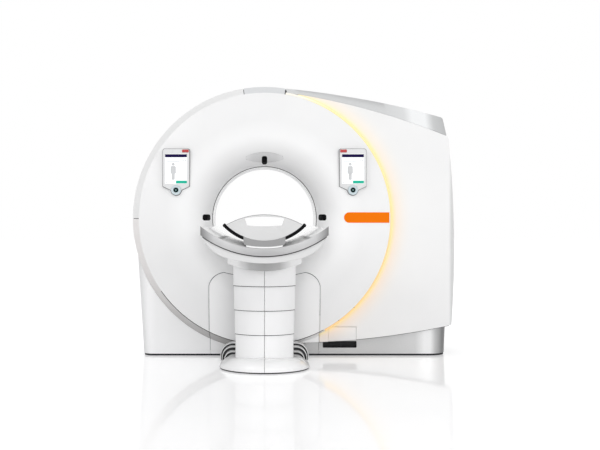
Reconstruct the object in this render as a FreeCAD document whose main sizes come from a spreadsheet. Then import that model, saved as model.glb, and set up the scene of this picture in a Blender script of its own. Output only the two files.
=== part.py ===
"""CT scanner: gantry with its rotor, covers and control panels, and the patient table.

Frame: x to the right seen from the table, y along the bore towards the rear, z up from the
floor. The scan plane is y = 0 and the bore's axis is at the height iso_height. Millimetres.
"""
import FreeCAD, Part
import Sketcher
import math
import os
import re
import sys

from FreeCAD import Placement, Rotation, Vector

doc = FreeCAD.newDocument("ct_scanner")

# ---------------------------------------------------------------- driving dimensions

DIMENSIONS = [
    ("iso_height", 1020, "height of the bore's axis above the floor"),
    ("bore_radius", 390, "clear radius of the tunnel"),
    ("liner_wall", 4, "wall of the tunnel liners"),
    ("window_wall", 1.6, "wall of the scan window ring"),
    ("window_half", 62, "half length of the scan window"),
    ("cover_wall", 6, "wall of the moulded covers"),
    ("front_reach", 480, "scan plane to the foremost ring of the front cover"),
    ("throat_length", 23, "straight end of a bell mouth"),
    ("mouth_radius", 600, "radius where the bell mouth begins"),
    ("disc_radius", 920, "rim of the round front cover"),
    ("disc_setback", 55, "rim of the front cover behind its foremost ring"),
    ("disc_return", 27, "depth of the rim's return"),
    ("dome_radius", 1500, "radius of the front cover's dome"),
    ("collar_radius", 980, "outside of the ring covers"),
    ("collar_gap", 5, "front cover's rim to the ring covers"),
    ("body_reach", 282, "scan plane to the front of plinth and leg"),
    ("rear_reach", 430, "scan plane to the rear cover's plate"),
    ("rear_mouth_reach", 480, "scan plane to the rearmost ring"),
    ("seam", 3, "gap between neighbouring covers"),
    ("seat_gap", 0.4, "gap where one cover seats on another"),
    ("floor_gap", 4, "gap under the covers"),
    ("cap_angle", 9.3, "half angle of the ring cover at the top"),
    ("leg_angle", 13.5, "angle below the middle where the leg leaves the circle"),
    ("leg_foot_x", 903, "leg's outer edge at the floor, left of the axis"),
    ("leg_corner", 80, "radius of the leg's and the plinth's upright corner"),
    ("wing_reach", 332, "scan plane to the wing cover's face"),
    ("wing_inner", 945, "radius of the wing cover's edge along the light ring"),
    ("wing_lap", 19, "wing cover's right edge beyond the silver side"),
    ("wing_rise", 608, "wing cover's upper right corner above the axis"),
    ("wing_foot_z", 230, "height of the wing cover's lower right corner"),
    ("wing_return", 205, "scan plane to the rear of the wing cover's edges"),
    ("wing_bow", 7866, "radius of the wing cover's right edge"),
    ("wing_crest", 5250, "radius of the wing cover's upper edge"),
    ("wing_keel", 5955, "radius of the wing cover's lower edge"),
    ("wing_tip_x", 250, "blunt upper tip of the wing cover, right of the axis"),
    ("wing_toe_x", 219, "lower tip of the wing cover, right of the axis"),
    ("wing_chamfer", 8, "chamfer round the wing cover's outer edge"),
    ("side_x", 1364, "right side of the silver cover"),
    ("side_foot", 300, "height of the silver side's lower edge"),
    ("shoulder_inset", 34, "right end of the top band from the silver side"),
    ("shoulder_rise", 760, "right end of the top band above the axis"),
    ("band_start", 161, "left end of the top band, right of the axis"),
    ("band_crest", 5600, "radius of the top band's arch"),
    ("plinth_inset", 14, "plinth's right side from the silver side"),
    ("plinth_corner", 150, "radius of the plinth's upright corner"),
    ("hatch_half", 402, "half width of the lower front panel"),
    ("hatch_side", 531, "height of the lower panel's straight sides"),
    ("hatch_shoulder", 625, "height of the lower panel's upper corners"),
    ("hatch_flat", 294, "half width of the lower panel's upper edge"),
    ("hatch_bow", 1120, "radius of the lower panel's upper edge"),
    ("hatch_corner", 120, "radius of the lower panel's upper corners"),
    ("flap_left", 474, "left edge of the small flap"),
    ("flap_width", 203, "width of the small flap"),
    ("flap_top", 217, "height of the small flap's upper edge"),
    ("hinge_foot", 140, "height of the lower end of the flap's hinge"),
    ("hinge_length", 70, "length of the flap's hinge"),
    ("hinge_pin", 1.5, "radius of the flap's hinge pin"),
    ("hinge_lug", 8, "width of a hinge lug"),
    ("hinge_inset", 3, "hinge pin from the flap's face and right edge"),
    ("recess_left", 433, "left edge of the dark recess"),
    ("recess_width", 253, "width of the dark recess"),
    ("recess_top", 108, "height of the dark recess's upper edge"),
    ("recess_height", 50, "height of the dark recess"),
    ("recess_depth", 60, "depth of the dark recess"),
    ("panel_x", 640, "control panel's middle from the axis"),
    ("panel_half", 99, "half width of a control panel"),
    ("panel_rise", 507, "control panel's upper edge above the axis"),
    ("panel_side", 233, "height above the axis where a control panel starts to taper"),
    ("panel_reach", 500, "scan plane to a control panel's face"),
    ("panel_corner", 16, "radius of a control panel's upper corners"),
    ("dial_rise", 206, "round dial above the axis"),
    ("dial_radius", 36, "radius of the round dial"),
    ("dial_depth", 12, "dial's face in front of the panel's face"),
    ("screen_half", 80, "half width of a screen"),
    ("screen_rise", 467, "screen's upper edge above the axis"),
    ("screen_low", 252, "screen's lower edge above the axis"),
    ("screen_wall", 2, "thickness of a screen's glass"),
    ("button_x", 68, "stop button's middle from the panel's middle, towards the axis"),
    ("button_half", 24, "half width of a stop button"),
    ("button_height", 21, "height of a stop button"),
    ("button_travel", 3, "travel of a stop button"),
    ("button_gap", 0.5, "side gap of a stop button"),
    ("badge_left", 577, "left end of the badge plate"),
    ("badge_right", 912, "right end of the badge plate"),
    ("badge_half", 38, "half height of the badge plate"),
    ("badge_wall", 2, "thickness of the badge plate"),
    ("badge_rise", 7, "badge plate's middle above the axis"),
    ("laser_offset", 426, "laser windows from the axis"),
    ("laser_wide", 26, "half width of a side laser window"),
    ("laser_tall", 22, "half height of a side laser window"),
    ("laser_slim", 19, "half width of the top laser window"),
    ("laser_long", 28, "half height of the top laser window"),
    ("laser_corner", 8, "radius of the laser windows' corners"),
    ("lens_half", 136, "half width of the display lens"),
    ("lens_low", 413, "display lens's lowest point above the axis"),
    ("lens_tip", 432, "lower corners of the display lens above the axis"),
    ("lens_edge", 20, "height of the display lens at its tips"),
    ("lens_top", 488, "display lens's highest point above the axis"),
    ("frame_foot", 30, "height of the base frame's underside"),
    ("frame_top", 150, "height of the base frame's upper side"),
    ("beam", 100, "width of the base frame's beams"),
    ("frame_left", 860, "base frame's left end from the axis"),
    ("frame_right", 1300, "base frame's right end from the axis"),
    ("frame_front", 200, "scan plane to the base frame's front"),
    ("frame_rear", 400, "scan plane to the base frame's rear"),
    ("anchor_radius", 9, "radius of the floor anchors' holes"),
    ("foot_pad", 40, "radius of a levelling foot's pad"),
    ("pad_height", 14, "height of a levelling foot's pad"),
    ("foot_bolt", 14, "radius over the corners of a levelling foot's hexagonal bolt"),
    ("bracket_width", 60, "width and height of a cover bracket"),
    ("bracket_foot", 40, "height of a cover bracket's underside"),
    ("plate_front", 135, "scan plane to the stator plate's front"),
    ("plate_wall", 40, "thickness of the stator plate"),
    ("plate_half", 900, "half width of the stator plate"),
    ("plate_hole", 540, "radius of the stator plate's hole"),
    ("race_inner", 470, "inside radius of the bearing"),
    ("race_split", 535, "radius between the bearing's rings"),
    ("race_outer", 580, "outside radius of the bearing"),
    ("race_gap", 0.5, "clearance between the bearing's rings"),
    ("race_width", 40, "width of a bearing ring"),
    ("magnet_inner", 600, "inside radius of the drive's magnet ring"),
    ("magnet_wall", 40, "wall of the drive's magnet ring"),
    ("drive_width", 38, "width of the drive's magnet ring and yoke"),
    ("coil_inner", 646, "inside radius of the drive's coils"),
    ("yoke_inner", 672, "inside radius of the coils' yoke"),
    ("yoke_wall", 28, "wall of the coils' yoke"),
    ("drum_front", 200, "scan plane to the drum's front edge"),
    ("drum_plate", 60, "scan plane to the drum plate's front"),
    ("drum_wall", 30, "thickness of the drum's plate"),
    ("drum_inner", 430, "inside radius of the drum's plate"),
    ("drum_outer", 840, "outside radius of the drum"),
    ("rim_wall", 10, "wall of the drum's rim"),
    ("unit_radius", 690, "radius of the rotor's units"),
    ("unit_front", 180, "scan plane to the front of the rotor's units"),
    ("slip_rear", 235, "scan plane to the slip ring's rear"),
    ("slip_outer", 520, "outside radius of the slip ring"),
    ("slip_wall", 22, "thickness of the slip ring's flange"),
    ("tube_radius", 110, "radius of an X-ray tube's housing"),
    ("detector_inner", 480, "inside radius of a detector"),
    ("detector_wall", 78, "thickness of a detector"),
    ("column_front", 1080, "scan plane to the column's front"),
    ("column_rear", 594, "scan plane to the column's rear"),
    ("column_half", 212, "half width of the column's upper tier"),
    ("column_bow", 244, "radius of the column's bowed front"),
    ("tier_step", 5, "step from one tier to the next"),
    ("glide_gap", 0.8, "gap between neighbouring tiers"),
    ("column_seam", 2.4, "gap down the middle of the column"),
    ("tier_a_foot", 566, "lower edge of the upper tier"),
    ("tier_b_foot", 402, "lower edge of the second tier"),
    ("tier_c_foot", 239, "lower edge of the third tier"),
    ("lift_travel", 420, "travel of the table's lift"),
    ("mast_low", 320, "top of the folded mast"),
    ("mast_half", 110, "half width of the mast's lowest stage"),
    ("mast_wall", 8, "wall of a mast stage"),
    ("mast_gap", 0.5, "gap between mast stages"),
    ("mast_lap", 118, "overlap of neighbouring mast stages, table high"),
    ("mast_y", 838, "scan plane to the mast's middle"),
    ("head_half", 150, "half length of the plate on the mast"),
    ("head_wall", 16, "thickness of the plate on the mast"),
    ("base_top", 60, "top of the table's base plate"),
    ("toe_half", 308, "half width and front radius of the toe cover"),
    ("toe_middle", 900, "scan plane to the centre of the toe's round front"),
    ("toe_rear", 762, "scan plane to the toe cover's rear"),
    ("toe_foot", 12, "gap under the toe cover"),
    ("toe_top", 90, "height of the toe cover"),
    ("toe_round", 76, "rounding of the toe cover"),
    ("toe_wall", 44, "wall of the toe cover's rim"),
    ("base_half", 235, "half width of the table's base plate"),
    ("base_rear", 345, "scan plane to the rear of the table's base plate"),
    ("tongue_half", 100, "half width of the base plate's tongue under the gantry"),
    ("foot_half", 318, "half width of the largest foot cover"),
    ("foot_top", 125, "height of the largest foot cover"),
    ("foot_corner", 92, "rounding of the largest foot cover"),
    ("foot_wall", 6, "wall of the foot covers"),
    ("foot_step", 14, "step from one foot cover to the next"),
    ("table_end", 2700, "scan plane to the table's foot end"),
    ("cradle_head", 545, "scan plane to the cradle's head end"),
    ("cradle_half", 328, "half width of the cradle"),
    ("cradle_tip", 980, "height of the cradle's edges"),
    ("cradle_sag", 113, "depth of the cradle"),
    ("skin_wall", 8, "wall of the cradle's trough"),
    ("hull_wall", 5, "wall of the hull and the neck"),
    ("hull_depth", 77, "hull's lowest point below the trough"),
    ("hull_keel", 700, "radius of the hull's keel"),
    ("hull_bilge", 190, "radius of the hull's corners"),
    ("neck_depth", 196, "neck's lowest point below the trough"),
    ("neck_keel", 620, "radius of the neck's underside"),
    ("band_depth", 40, "silver band's lowest point below the trough"),
    ("board_half", 212, "half width of the board"),
    ("board_bow", 290, "outside radius of the board's section"),
    ("board_foot", 895, "height of the board's underside"),
    ("board_wall", 12, "wall of the board"),
    ("board_bead", 9.5, "radius of the beads along the board's edges"),
    ("board_head", 512, "scan plane to the board's head end at rest"),
    ("board_travel", 1700, "travel of the board"),
    ("carriage_half", 107, "half width of the board's carriage"),
    ("carriage_length", 380, "length of the board's carriage"),
    ("carriage_corner", 14, "radius of the carriage's lower edges"),
    ("carriage_lip", 5, "thickness of the carriage's plate in front of the board's end"),
    ("slide_gap", 0.4, "clearance of sliding pieces"),
    ("cap_wall", 22, "thickness of the board's end cap"),
    ("cap_rise", 52, "rise of the end cap above the board's edges"),
]

sheet = doc.addObject("Spreadsheet::Sheet", "dims")
for row, (alias, value, note) in enumerate(DIMENSIONS, start=1):
    sheet.set(f"A{row}", alias)
    sheet.set(f"B{row}", str(value))
    sheet.setAlias(f"B{row}", alias)
    sheet.set(f"C{row}", note)
doc.recompute()

ALIASES = {alias for alias, _, _ in DIMENSIONS}
NODES = {}


# ---------------------------------------------------------------- helpers

def bound(formula):
    """Return a formula of dimension names as an expression on the sheet."""
    return re.sub(r"[a-z][a-z_]*", lambda word: "dims." + word[0] if word[0] in ALIASES else word[0],
                  str(formula))


def size(formula):
    """Return the number that a formula of dimension names stands for."""
    return float(sheet.evalExpression(bound(formula)))


def bind(obj, path, formula):
    """Tie one property of an object to a formula of dimension names."""
    obj.setExpression(path, bound(formula))


def node(name, obj):
    """Name an object as one piece of the scanner."""
    obj.Label = name
    NODES[name] = obj
    return obj


def new_body(name):
    """Return a new empty body."""
    return doc.addObject("PartDesign::Body", name)


def plane_of(body, role):
    """Return one of a body's three origin planes."""
    return next(item for item in body.Origin.OriginFeatures if item.Role == role)


def arc_between(start, end, radius):
    """Return the minor arc between two points; a positive radius turns to the left."""
    chord = end - start
    half = chord.Length / 2
    left = Vector(-chord.y, chord.x, 0).normalize()
    reach = math.sqrt(max(radius * radius - half * half, 0.0))
    side = 1 if radius > 0 else -1
    centre = (start + end) * 0.5 + left * reach * side
    first, last = (start, end) if radius > 0 else (end, start)
    circle = Part.Circle(centre, Vector(0, 0, 1), abs(radius))
    return Part.ArcOfCircle(circle, circle.parameter(first), circle.parameter(last))


def add_loop(sketch, corners):
    """Draw a closed loop in a sketch and tie each corner and radius to its formula.

    A corner is (x, y), or (x, y, radius) where an arc leaves it for the next corner.
    """
    first = sketch.GeometryCount
    spots = [Vector(size(corner[0]), size(corner[1]), 0) for corner in corners]
    count = len(corners)
    ends = []
    for place, corner in enumerate(corners):
        start, end = spots[place], spots[(place + 1) % count]
        if len(corner) == 3:
            radius = size(corner[2])
            sketch.addGeometry(arc_between(start, end, radius), False)
            ends.append((1, 2) if radius > 0 else (2, 1))
        else:
            sketch.addGeometry(Part.LineSegment(start, end), False)
            ends.append((1, 2))
    for place in range(count):
        following = (place + 1) % count
        sketch.addConstraint(Sketcher.Constraint("Coincident", first + place, ends[place][1],
                                                 first + following, ends[following][0]))
    for place, corner in enumerate(corners):
        edge, end = first + place, ends[place][0]
        for kind, formula, number in (("DistanceX", corner[0], spots[place].x),
                                      ("DistanceY", corner[1], spots[place].y)):
            index = sketch.addConstraint(Sketcher.Constraint(kind, -1, 1, edge, end, number))
            bind(sketch, f"Constraints[{index}]", formula)
        if len(corner) == 3:
            index = sketch.addConstraint(Sketcher.Constraint("Radius", edge, abs(size(corner[2]))))
            bind(sketch, f"Constraints[{index}]", f"abs({corner[2]})")


def add_hole(sketch, x, y, radius):
    """Draw a circle in a sketch and tie its centre and radius to formulas."""
    centre = Vector(size(x), size(y), 0)
    edge = sketch.addGeometry(Part.Circle(centre, Vector(0, 0, 1), size(radius)), False)
    for kind, formula, number in (("DistanceX", x, centre.x), ("DistanceY", y, centre.y)):
        index = sketch.addConstraint(Sketcher.Constraint(kind, -1, 1, edge, 3, number))
        bind(sketch, f"Constraints[{index}]", formula)
    index = sketch.addConstraint(Sketcher.Constraint("Radius", edge, size(radius)))
    bind(sketch, f"Constraints[{index}]", radius)


def draw(body, role, offset, loops, holes=()):
    """Return a sketch on one of a body's planes, moved along the plane's normal."""
    sketch = body.newObject("Sketcher::SketchObject", body.Name + "_sketch")
    sketch.AttachmentSupport = [(plane_of(body, role), "")]
    sketch.MapMode = "FlatFace"
    bind(sketch, "AttachmentOffset.Base.z", offset)
    for loop in loops:
        add_loop(sketch, loop)
    for hole in holes:
        add_hole(sketch, *hole)
    return sketch


def pad(body, sketch, length, backwards=False):
    """Pad a sketch along its plane's normal, or against it."""
    feature = body.newObject("PartDesign::Pad", body.Name + "_pad")
    feature.Profile = sketch
    feature.Reversed = backwards
    bind(feature, "Length", length)
    return feature


def slab(name, loops, y_start, length, holes=()):
    """Pad a front view (x, z) along y, from y_start."""
    body = new_body(name)
    sketch = draw(body, "XZ_Plane", f"-({y_start})", loops, holes)
    pad(body, sketch, length, backwards=True)
    return body


def block(name, loops, z_start, height, holes=()):
    """Pad a plan view (x, y) upwards from z_start."""
    body = new_body(name)
    sketch = draw(body, "XY_Plane", z_start, loops, holes)
    pad(body, sketch, height)
    return body


def turned(name, loop, start=0, sweep=None):
    """Turn a profile (y, radius) about the bore's axis.

    Angles run clockwise from the top as seen from the table.
    """
    body = new_body(name)
    sketch = draw(body, "YZ_Plane", "0", [loop])
    feature = body.newObject("PartDesign::Revolution", name + "_turn")
    feature.Profile = sketch
    feature.ReferenceAxis = (sketch, ["H_Axis"])
    feature.Angle = 360.0
    if sweep is not None:
        bind(feature, "Angle", sweep)
        body.Placement = Placement(Vector(), Rotation(Vector(0, 1, 0), size(start)))
        bind(body, "Placement.Rotation.Angle", start)
    bind(body, "Placement.Base.z", "iso_height")
    return body


def brick(name, x, y, z, length, width, height, turn=None):
    """A box from its lowest corner; with turn it is placed from the bore's axis and turned."""
    box = doc.addObject("Part::Box", name)
    for path, formula in (("Length", length), ("Width", width), ("Height", height)):
        bind(box, path, formula)
    if turn is None:
        for axis, formula in (("x", x), ("y", y), ("z", z)):
            bind(box, f"Placement.Base.{axis}", formula)
        return box
    angle = math.radians(turn)
    box.Placement = Placement(Vector(), Rotation(Vector(0, 1, 0), turn))
    cosine, sine = round(math.cos(angle), 9), round(math.sin(angle), 9)
    bind(box, "Placement.Base.x", f"({x}) * {cosine} + ({z}) * {sine}")
    bind(box, "Placement.Base.y", y)
    bind(box, "Placement.Base.z", f"iso_height + ({z}) * {cosine} - ({x}) * {sine}")
    return box


def rod(name, x, y, z, radius, length, axis="z"):
    """A cylinder from the middle of its first face."""
    cylinder = doc.addObject("Part::Cylinder", name)
    turns = {"x": Rotation(Vector(0, 1, 0), 90), "y": Rotation(Vector(1, 0, 0), -90), "z": Rotation()}
    cylinder.Placement = Placement(Vector(), turns[axis])
    bind(cylinder, "Radius", radius)
    bind(cylinder, "Height", length)
    for letter, formula in (("x", x), ("y", y), ("z", z)):
        bind(cylinder, f"Placement.Base.{letter}", formula)
    return cylinder


def joined(name, *pieces):
    """Return one object of several pieces."""
    fuse = doc.addObject("Part::MultiFuse", name)
    fuse.Shapes = list(pieces)
    return fuse


def cut(name, base, *tools):
    """Return a base without the space of its tools."""
    result = doc.addObject("Part::Cut", name)
    result.Base = base
    result.Tool = tools[0] if len(tools) == 1 else joined(name + "_tools", *tools)
    return result


def common(name, base, tool):
    """Return the space that a base and a tool share."""
    result = doc.addObject("Part::Common", name)
    result.Base = base
    result.Tool = tool
    return result


def rectangle(x, y, length, height):
    """Return a rectangle's corners, from its lowest one."""
    return [(x, y), (f"({x}) + ({length})", y), (f"({x}) + ({length})", f"({y}) + ({height})"),
            (x, f"({y}) + ({height})")]


def rounded(x, y, length, height, radius):
    """A rectangle with round corners, from its lowest corner."""
    right, top = f"({x}) + ({length})", f"({y}) + ({height})"
    return [(f"{x} + {radius}", y), (f"{right} - {radius}", y, radius), (right, f"{y} + {radius}"),
            (right, f"{top} - {radius}", radius), (f"{right} - {radius}", top),
            (f"{x} + {radius}", top, radius), (x, f"{top} - {radius}"), (x, f"{y} + {radius}", radius)]


# ---------------------------------------------------------------- base and stator

middle_beam = "plate_half - 40 - beam"
windows = [rectangle(left, "-frame_front + beam", f"({right}) - ({left})",
                     "frame_front + frame_rear - 2 * beam")
           for left, right in (("-frame_left + beam", "-beam / 2"), ("beam / 2", middle_beam),
                               (f"{middle_beam} + beam", "frame_right - beam"))]
anchors = [(x, y, "anchor_radius") for x in ("-frame_left + beam / 2", "frame_right - beam / 2")
           for y in ("-frame_front + beam / 2", "frame_rear - beam / 2")]
frame_blank = block("frame_blank", [
    rectangle("-frame_left", "-frame_front", "frame_left + frame_right", "frame_front + frame_rear"),
    *windows], "frame_foot", "frame_top - frame_foot", anchors)
cover_reach = "body_reach - cover_wall - seat_gap"
brackets = [brick(f"front_bracket_{count}", x, f"-({cover_reach})", "bracket_width", "bracket_foot",
                  f"{cover_reach} - frame_front", "bracket_width")
            for count, x in enumerate(("-650", "-220", "150", "820"))]
brackets += [brick(f"rear_bracket_{count}", x, "frame_rear", "bracket_width", "bracket_foot",
                   "rear_reach - seat_gap - frame_rear", "bracket_width")
             for count, x in enumerate(("-650", "650"))]
node("base_frame", joined("base_frame", frame_blank, *brackets))

foot_spots = [(x, y) for x in ("-frame_left + 2 * beam", "plate_half - 40 - beam / 2",
                               "frame_right - 2 * beam")
              for y in ("-frame_front + beam / 2", "frame_rear - beam / 2")]
feet = []
for count, (x, y) in enumerate([("0", "0"), *foot_spots]):
    feet.append(rod(f"foot_pad_{count}", x, y, "0", "foot_pad", "pad_height"))
    bolt = doc.addObject("Part::Prism", f"foot_bolt_{count}")
    for path, formula in (("Circumradius", "foot_bolt"), ("Height", "frame_foot - pad_height"),
                          ("Placement.Base.x", x), ("Placement.Base.y", y),
                          ("Placement.Base.z", "pad_height")):
        bind(bolt, path, formula)
    feet.append(bolt)
node("levelling_feet", joined("levelling_feet", *feet))

node("stator_frame", slab("stator_frame", [[
    ("-plate_half", "frame_top"), ("plate_half", "frame_top"),
    ("plate_half", "iso_height", "plate_half"), ("0", "iso_height + plate_half", "plate_half"),
    ("-plate_half", "iso_height")]], "plate_front", "plate_wall",
    [("0", "iso_height", "plate_hole")]))

node("bearing_outer_ring", turned("bearing_outer_ring", rectangle(
    "plate_front - race_width", "race_split", "race_width", "race_outer - race_split")))

coil_parts = [turned("coil_yoke", rectangle("plate_front - drive_width", "yoke_inner", "drive_width",
                                            "yoke_wall"))]
for turn in range(0, 360, 15):
    coil_parts.append(brick(f"coil_{turn}", "-32", "plate_front - drive_width + 4", "coil_inner", "64",
                            "drive_width - 8", "yoke_inner + 4 - coil_inner", turn))
node("stator_coils", joined("stator_coils", *coil_parts))

node("brush_block", joined(
    "brush_block",
    brick("brush_box", "-60", "plate_front + plate_wall", "iso_height + 550", "120", "86", "90"),
    brick("brush_arm", "-40", "slip_rear + 1", "iso_height + race_inner", "80", "24", "82")))

# ---------------------------------------------------------------- rotor

drum_body = turned("drum", [
    ("-drum_front", "drum_outer - rim_wall"), ("-drum_front", "drum_outer"),
    ("drum_plate + drum_wall", "drum_outer"), ("drum_plate + drum_wall", "drum_inner"),
    ("drum_plate", "drum_inner"), ("drum_plate", "drum_outer - rim_wall")])
node("rotor_drum", drum_body)

node("bearing_inner_ring", turned("bearing_inner_ring", rectangle(
    "drum_plate + drum_wall", "race_inner", "race_width", "race_split - race_gap - race_inner")))

node("rotor_magnets", turned("rotor_magnets", rectangle("drum_plate + drum_wall", "magnet_inner",
                                                        "drive_width", "magnet_wall")))

node("slip_ring", turned("slip_ring", [
    ("drum_plate + drum_wall", "drum_inner + 4"), ("slip_rear", "drum_inner + 4"),
    ("slip_rear", "slip_outer"), ("slip_rear - slip_wall", "slip_outer"),
    ("slip_rear - slip_wall", "race_inner - 8"), ("drum_plate + drum_wall", "race_inner - 8")]))


def tube_unit(name, turn):
    """An X-ray tube in its housing with the collimator under it, hung on the drum's plate."""
    housing = rod(name + "_housing", "0", "-unit_front", "0", "tube_radius", "drum_plate + unit_front", "y")
    angle = math.radians(turn)
    bind(housing, "Placement.Base.x", f"unit_radius * {round(math.sin(angle), 9)}")
    bind(housing, "Placement.Base.z", f"iso_height + unit_radius * {round(math.cos(angle), 9)}")
    collimator = brick(name + "_collimator", "-90", "-70", "unit_radius - 170", "180",
                       "drum_plate + 70", "100", turn)
    return joined(name, housing, collimator)


node("xray_tube_a", tube_unit("xray_tube_a", 0))
node("xray_tube_b", tube_unit("xray_tube_b", 90))


def detector(name, middle, spread):
    """A curved detector across the bore from its tube."""
    return turned(name, rectangle("-100", "detector_inner", "drum_plate + 100", "detector_wall"),
                  f"{middle} - {spread} / 2", f"{spread}")


node("detector_a", detector("detector_a", 180, 56))
node("detector_b", detector("detector_b", 270, 40))

units = [brick(f"unit_{turn}", "-130", "-unit_front", "unit_radius - 90", "260",
               "drum_plate + unit_front", "180", turn) for turn in (45, 135, 225, 315)]
node("rotor_power_units", joined("rotor_power_units", *units))

# ---------------------------------------------------------------- tunnel

mouth_turn = "(mouth_radius - bore_radius)"
front_throat = f"(front_reach - {mouth_turn} - throat_length)"
rear_throat = f"(rear_mouth_reach - {mouth_turn} - throat_length)"
liners = [turned("liner_front", rectangle(f"-{front_throat}", "bore_radius", f"{front_throat} - window_half",
                                          "liner_wall")),
          turned("liner_rear", rectangle("window_half", "bore_radius", f"{rear_throat} - window_half",
                                         "liner_wall"))]
node("tunnel_liners", joined("tunnel_liners", *liners))
node("scan_window", turned("scan_window", rectangle(
    "-window_half", "bore_radius", "2 * window_half", "window_wall")))

# ---------------------------------------------------------------- front cover


def front_profile(inset):
    """The front cover's face from rim to throat, moved back into the wall by inset."""
    rim = f"-front_reach + disc_setback + {inset}"
    return {
        "rim": (rim, f"disc_radius - {inset}", "dome_radius"),
        "ring": (f"-front_reach + {inset}", "mouth_radius", f"{mouth_turn} - {inset}"),
        "mouth": (f"-front_reach + {mouth_turn}", f"bore_radius + {inset}"),
        "throat": (f"-{front_throat}", f"bore_radius + {inset}"),
    }


outside, inside = front_profile("0"), front_profile("cover_wall")
return_end = "-front_reach + disc_setback + disc_return"
front_loop = [
    (return_end, "disc_radius"), outside["rim"], outside["ring"], outside["mouth"], outside["throat"],
    inside["throat"],
    (inside["mouth"][0], inside["mouth"][1], f"-({mouth_turn} - cover_wall)"),
    (inside["ring"][0], inside["ring"][1], "-dome_radius"),
    (inside["rim"][0], inside["rim"][1]), (return_end, "disc_radius - cover_wall")]


def hatch_prism(name, grow):
    """The space of the lower front panel, wider by grow."""
    side, top = f"hatch_half + {grow}", f"hatch_shoulder + {grow}"
    return slab(name, [[
        (f"-({side})", "-60"), (side, "-60"), (side, "hatch_side", "hatch_corner"),
        ("hatch_flat", top, "-hatch_bow"), ("-hatch_flat", top, "hatch_corner"),
        (f"-({side})", "hatch_side")]], "-front_reach - 60", "front_reach - body_reach + 120")


def laser_prism(name, x, z, half_x, half_z, gap):
    """The straight hole of a laser window, wider by gap."""
    return slab(name, [rounded(f"{x} - {half_x} - {gap}", f"{z} - {half_z} - {gap}",
                               f"2 * ({half_x} + {gap})", f"2 * ({half_z} + {gap})",
                               f"laser_corner + {gap}")],
                "-front_reach + 10", f"front_reach - {front_throat} - 20")


LASERS = (("left", "-laser_offset", "iso_height + 8", "laser_wide", "laser_tall"),
          ("right", "laser_offset", "iso_height + 8", "laser_wide", "laser_tall"),
          ("top", "0", "iso_height + laser_offset + 2", "laser_slim", "laser_long"))


def lens_loop(gap):
    """The display lens over the bore: two arcs that meet at its tips."""
    low, high = f"iso_height + lens_tip - {gap}", f"iso_height + lens_tip + lens_edge + {gap}"
    half, crown = f"lens_half + {gap}", "lens_half * 2.6"
    return [(f"-({half})", low), ("0", f"iso_height + lens_low - {gap}"), (half, low),
            (half, high, crown), ("0", f"iso_height + lens_top + {gap}", crown), (f"-({half})", high)]


laser_holes = [laser_prism(f"laser_hole_{side}", x, z, wide, tall, "0.4")
               for side, x, z, wide, tall in LASERS]
laser_plugs = [laser_prism(f"laser_plug_{side}", x, z, wide, tall, "0")
               for side, x, z, wide, tall in LASERS]
lens_hole = slab("lens_hole", [lens_loop("0.4")], "-front_reach + 10", "140")
lens_plug = slab("lens_plug", [lens_loop("0")], "-front_reach + 10", "140")

node("front_cover", cut("front_cover", turned("front_shell", front_loop),
                        hatch_prism("hatch_space", "seam"), lens_hole, *laser_holes))
node("laser_windows", common("laser_windows", turned("laser_shell", front_loop),
                             joined("laser_set", *laser_plugs)))
node("display_lens", cut("display_lens", common("lens_shell", turned("lens_skin", front_loop), lens_plug),
                         laser_holes[2]))

# ---------------------------------------------------------------- ring covers

collar_front = f"{return_end} + seat_gap"
cone_start, cone_end = "disc_radius + collar_gap", "collar_radius"


def collar_profile(rear):
    """A ring cover: lip behind the disc, cone, and skin back to rear."""
    return [(collar_front, "disc_radius - cover_wall"), (collar_front, cone_start),
            ("-body_reach", cone_end), (rear, cone_end), (rear, f"{cone_end} - cover_wall"),
            ("-body_reach + 2", f"{cone_end} - cover_wall"),
            (f"{collar_front} + cover_wall", f"{cone_start} - cover_wall + 2"),
            (f"{collar_front} + cover_wall", "disc_radius - cover_wall")]


node("collar_top_cover", turned("collar_top_cover", collar_profile("rear_reach - seat_gap"),
                                "-cap_angle + 0.02", "2 * cap_angle - 0.04"))
node("collar_left_cover", turned("collar_left_cover", collar_profile("rear_reach - seat_gap"),
                                 "-90 + 0.02", "90 - cap_angle - 0.04"))
node("collar_lower_cover", cut(
    "collar_lower_cover", turned("collar_lower_ring", collar_profile("-body_reach + 12"),
                                 "-180", "90 - 0.02"),
    hatch_prism("hatch_space_collar", "seam")))

# ---------------------------------------------------------------- lower front panel

panel_ring = turned("panel_ring", [
    (return_end, "disc_radius - cover_wall"), (return_end, "disc_radius"),
    (collar_front, cone_start), ("-body_reach", cone_end), ("-body_reach", f"{cone_end} - cover_wall"),
    (f"{collar_front} + cover_wall", f"disc_radius - cover_wall")], "130", "100")
panel_sheet = brick("panel_sheet", "-hatch_half", "-body_reach - 2", "floor_gap", "2 * hatch_half",
                    "cover_wall + 2", "iso_height - sqrt(collar_radius^2 - hatch_half^2) + 65")
panel_plate = cut("panel_plate", panel_sheet, rod(
    "panel_sheet_cut", "0", "-body_reach - 40", "iso_height", "collar_radius - 4", "80", "y"))
panel_notch = brick("panel_notch", "-tongue_half - 3", "-body_reach - 60", "0", "2 * tongue_half + 6",
                    "120", "frame_foot + 3")
panel_blank = joined("panel_blank", turned("panel_shell", front_loop), panel_ring, panel_plate)
node("front_lower_panel", cut("front_lower_panel", common(
    "panel_trimmed", panel_blank, hatch_prism("hatch_piece", "0")), panel_notch))

# ---------------------------------------------------------------- leg cover


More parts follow.
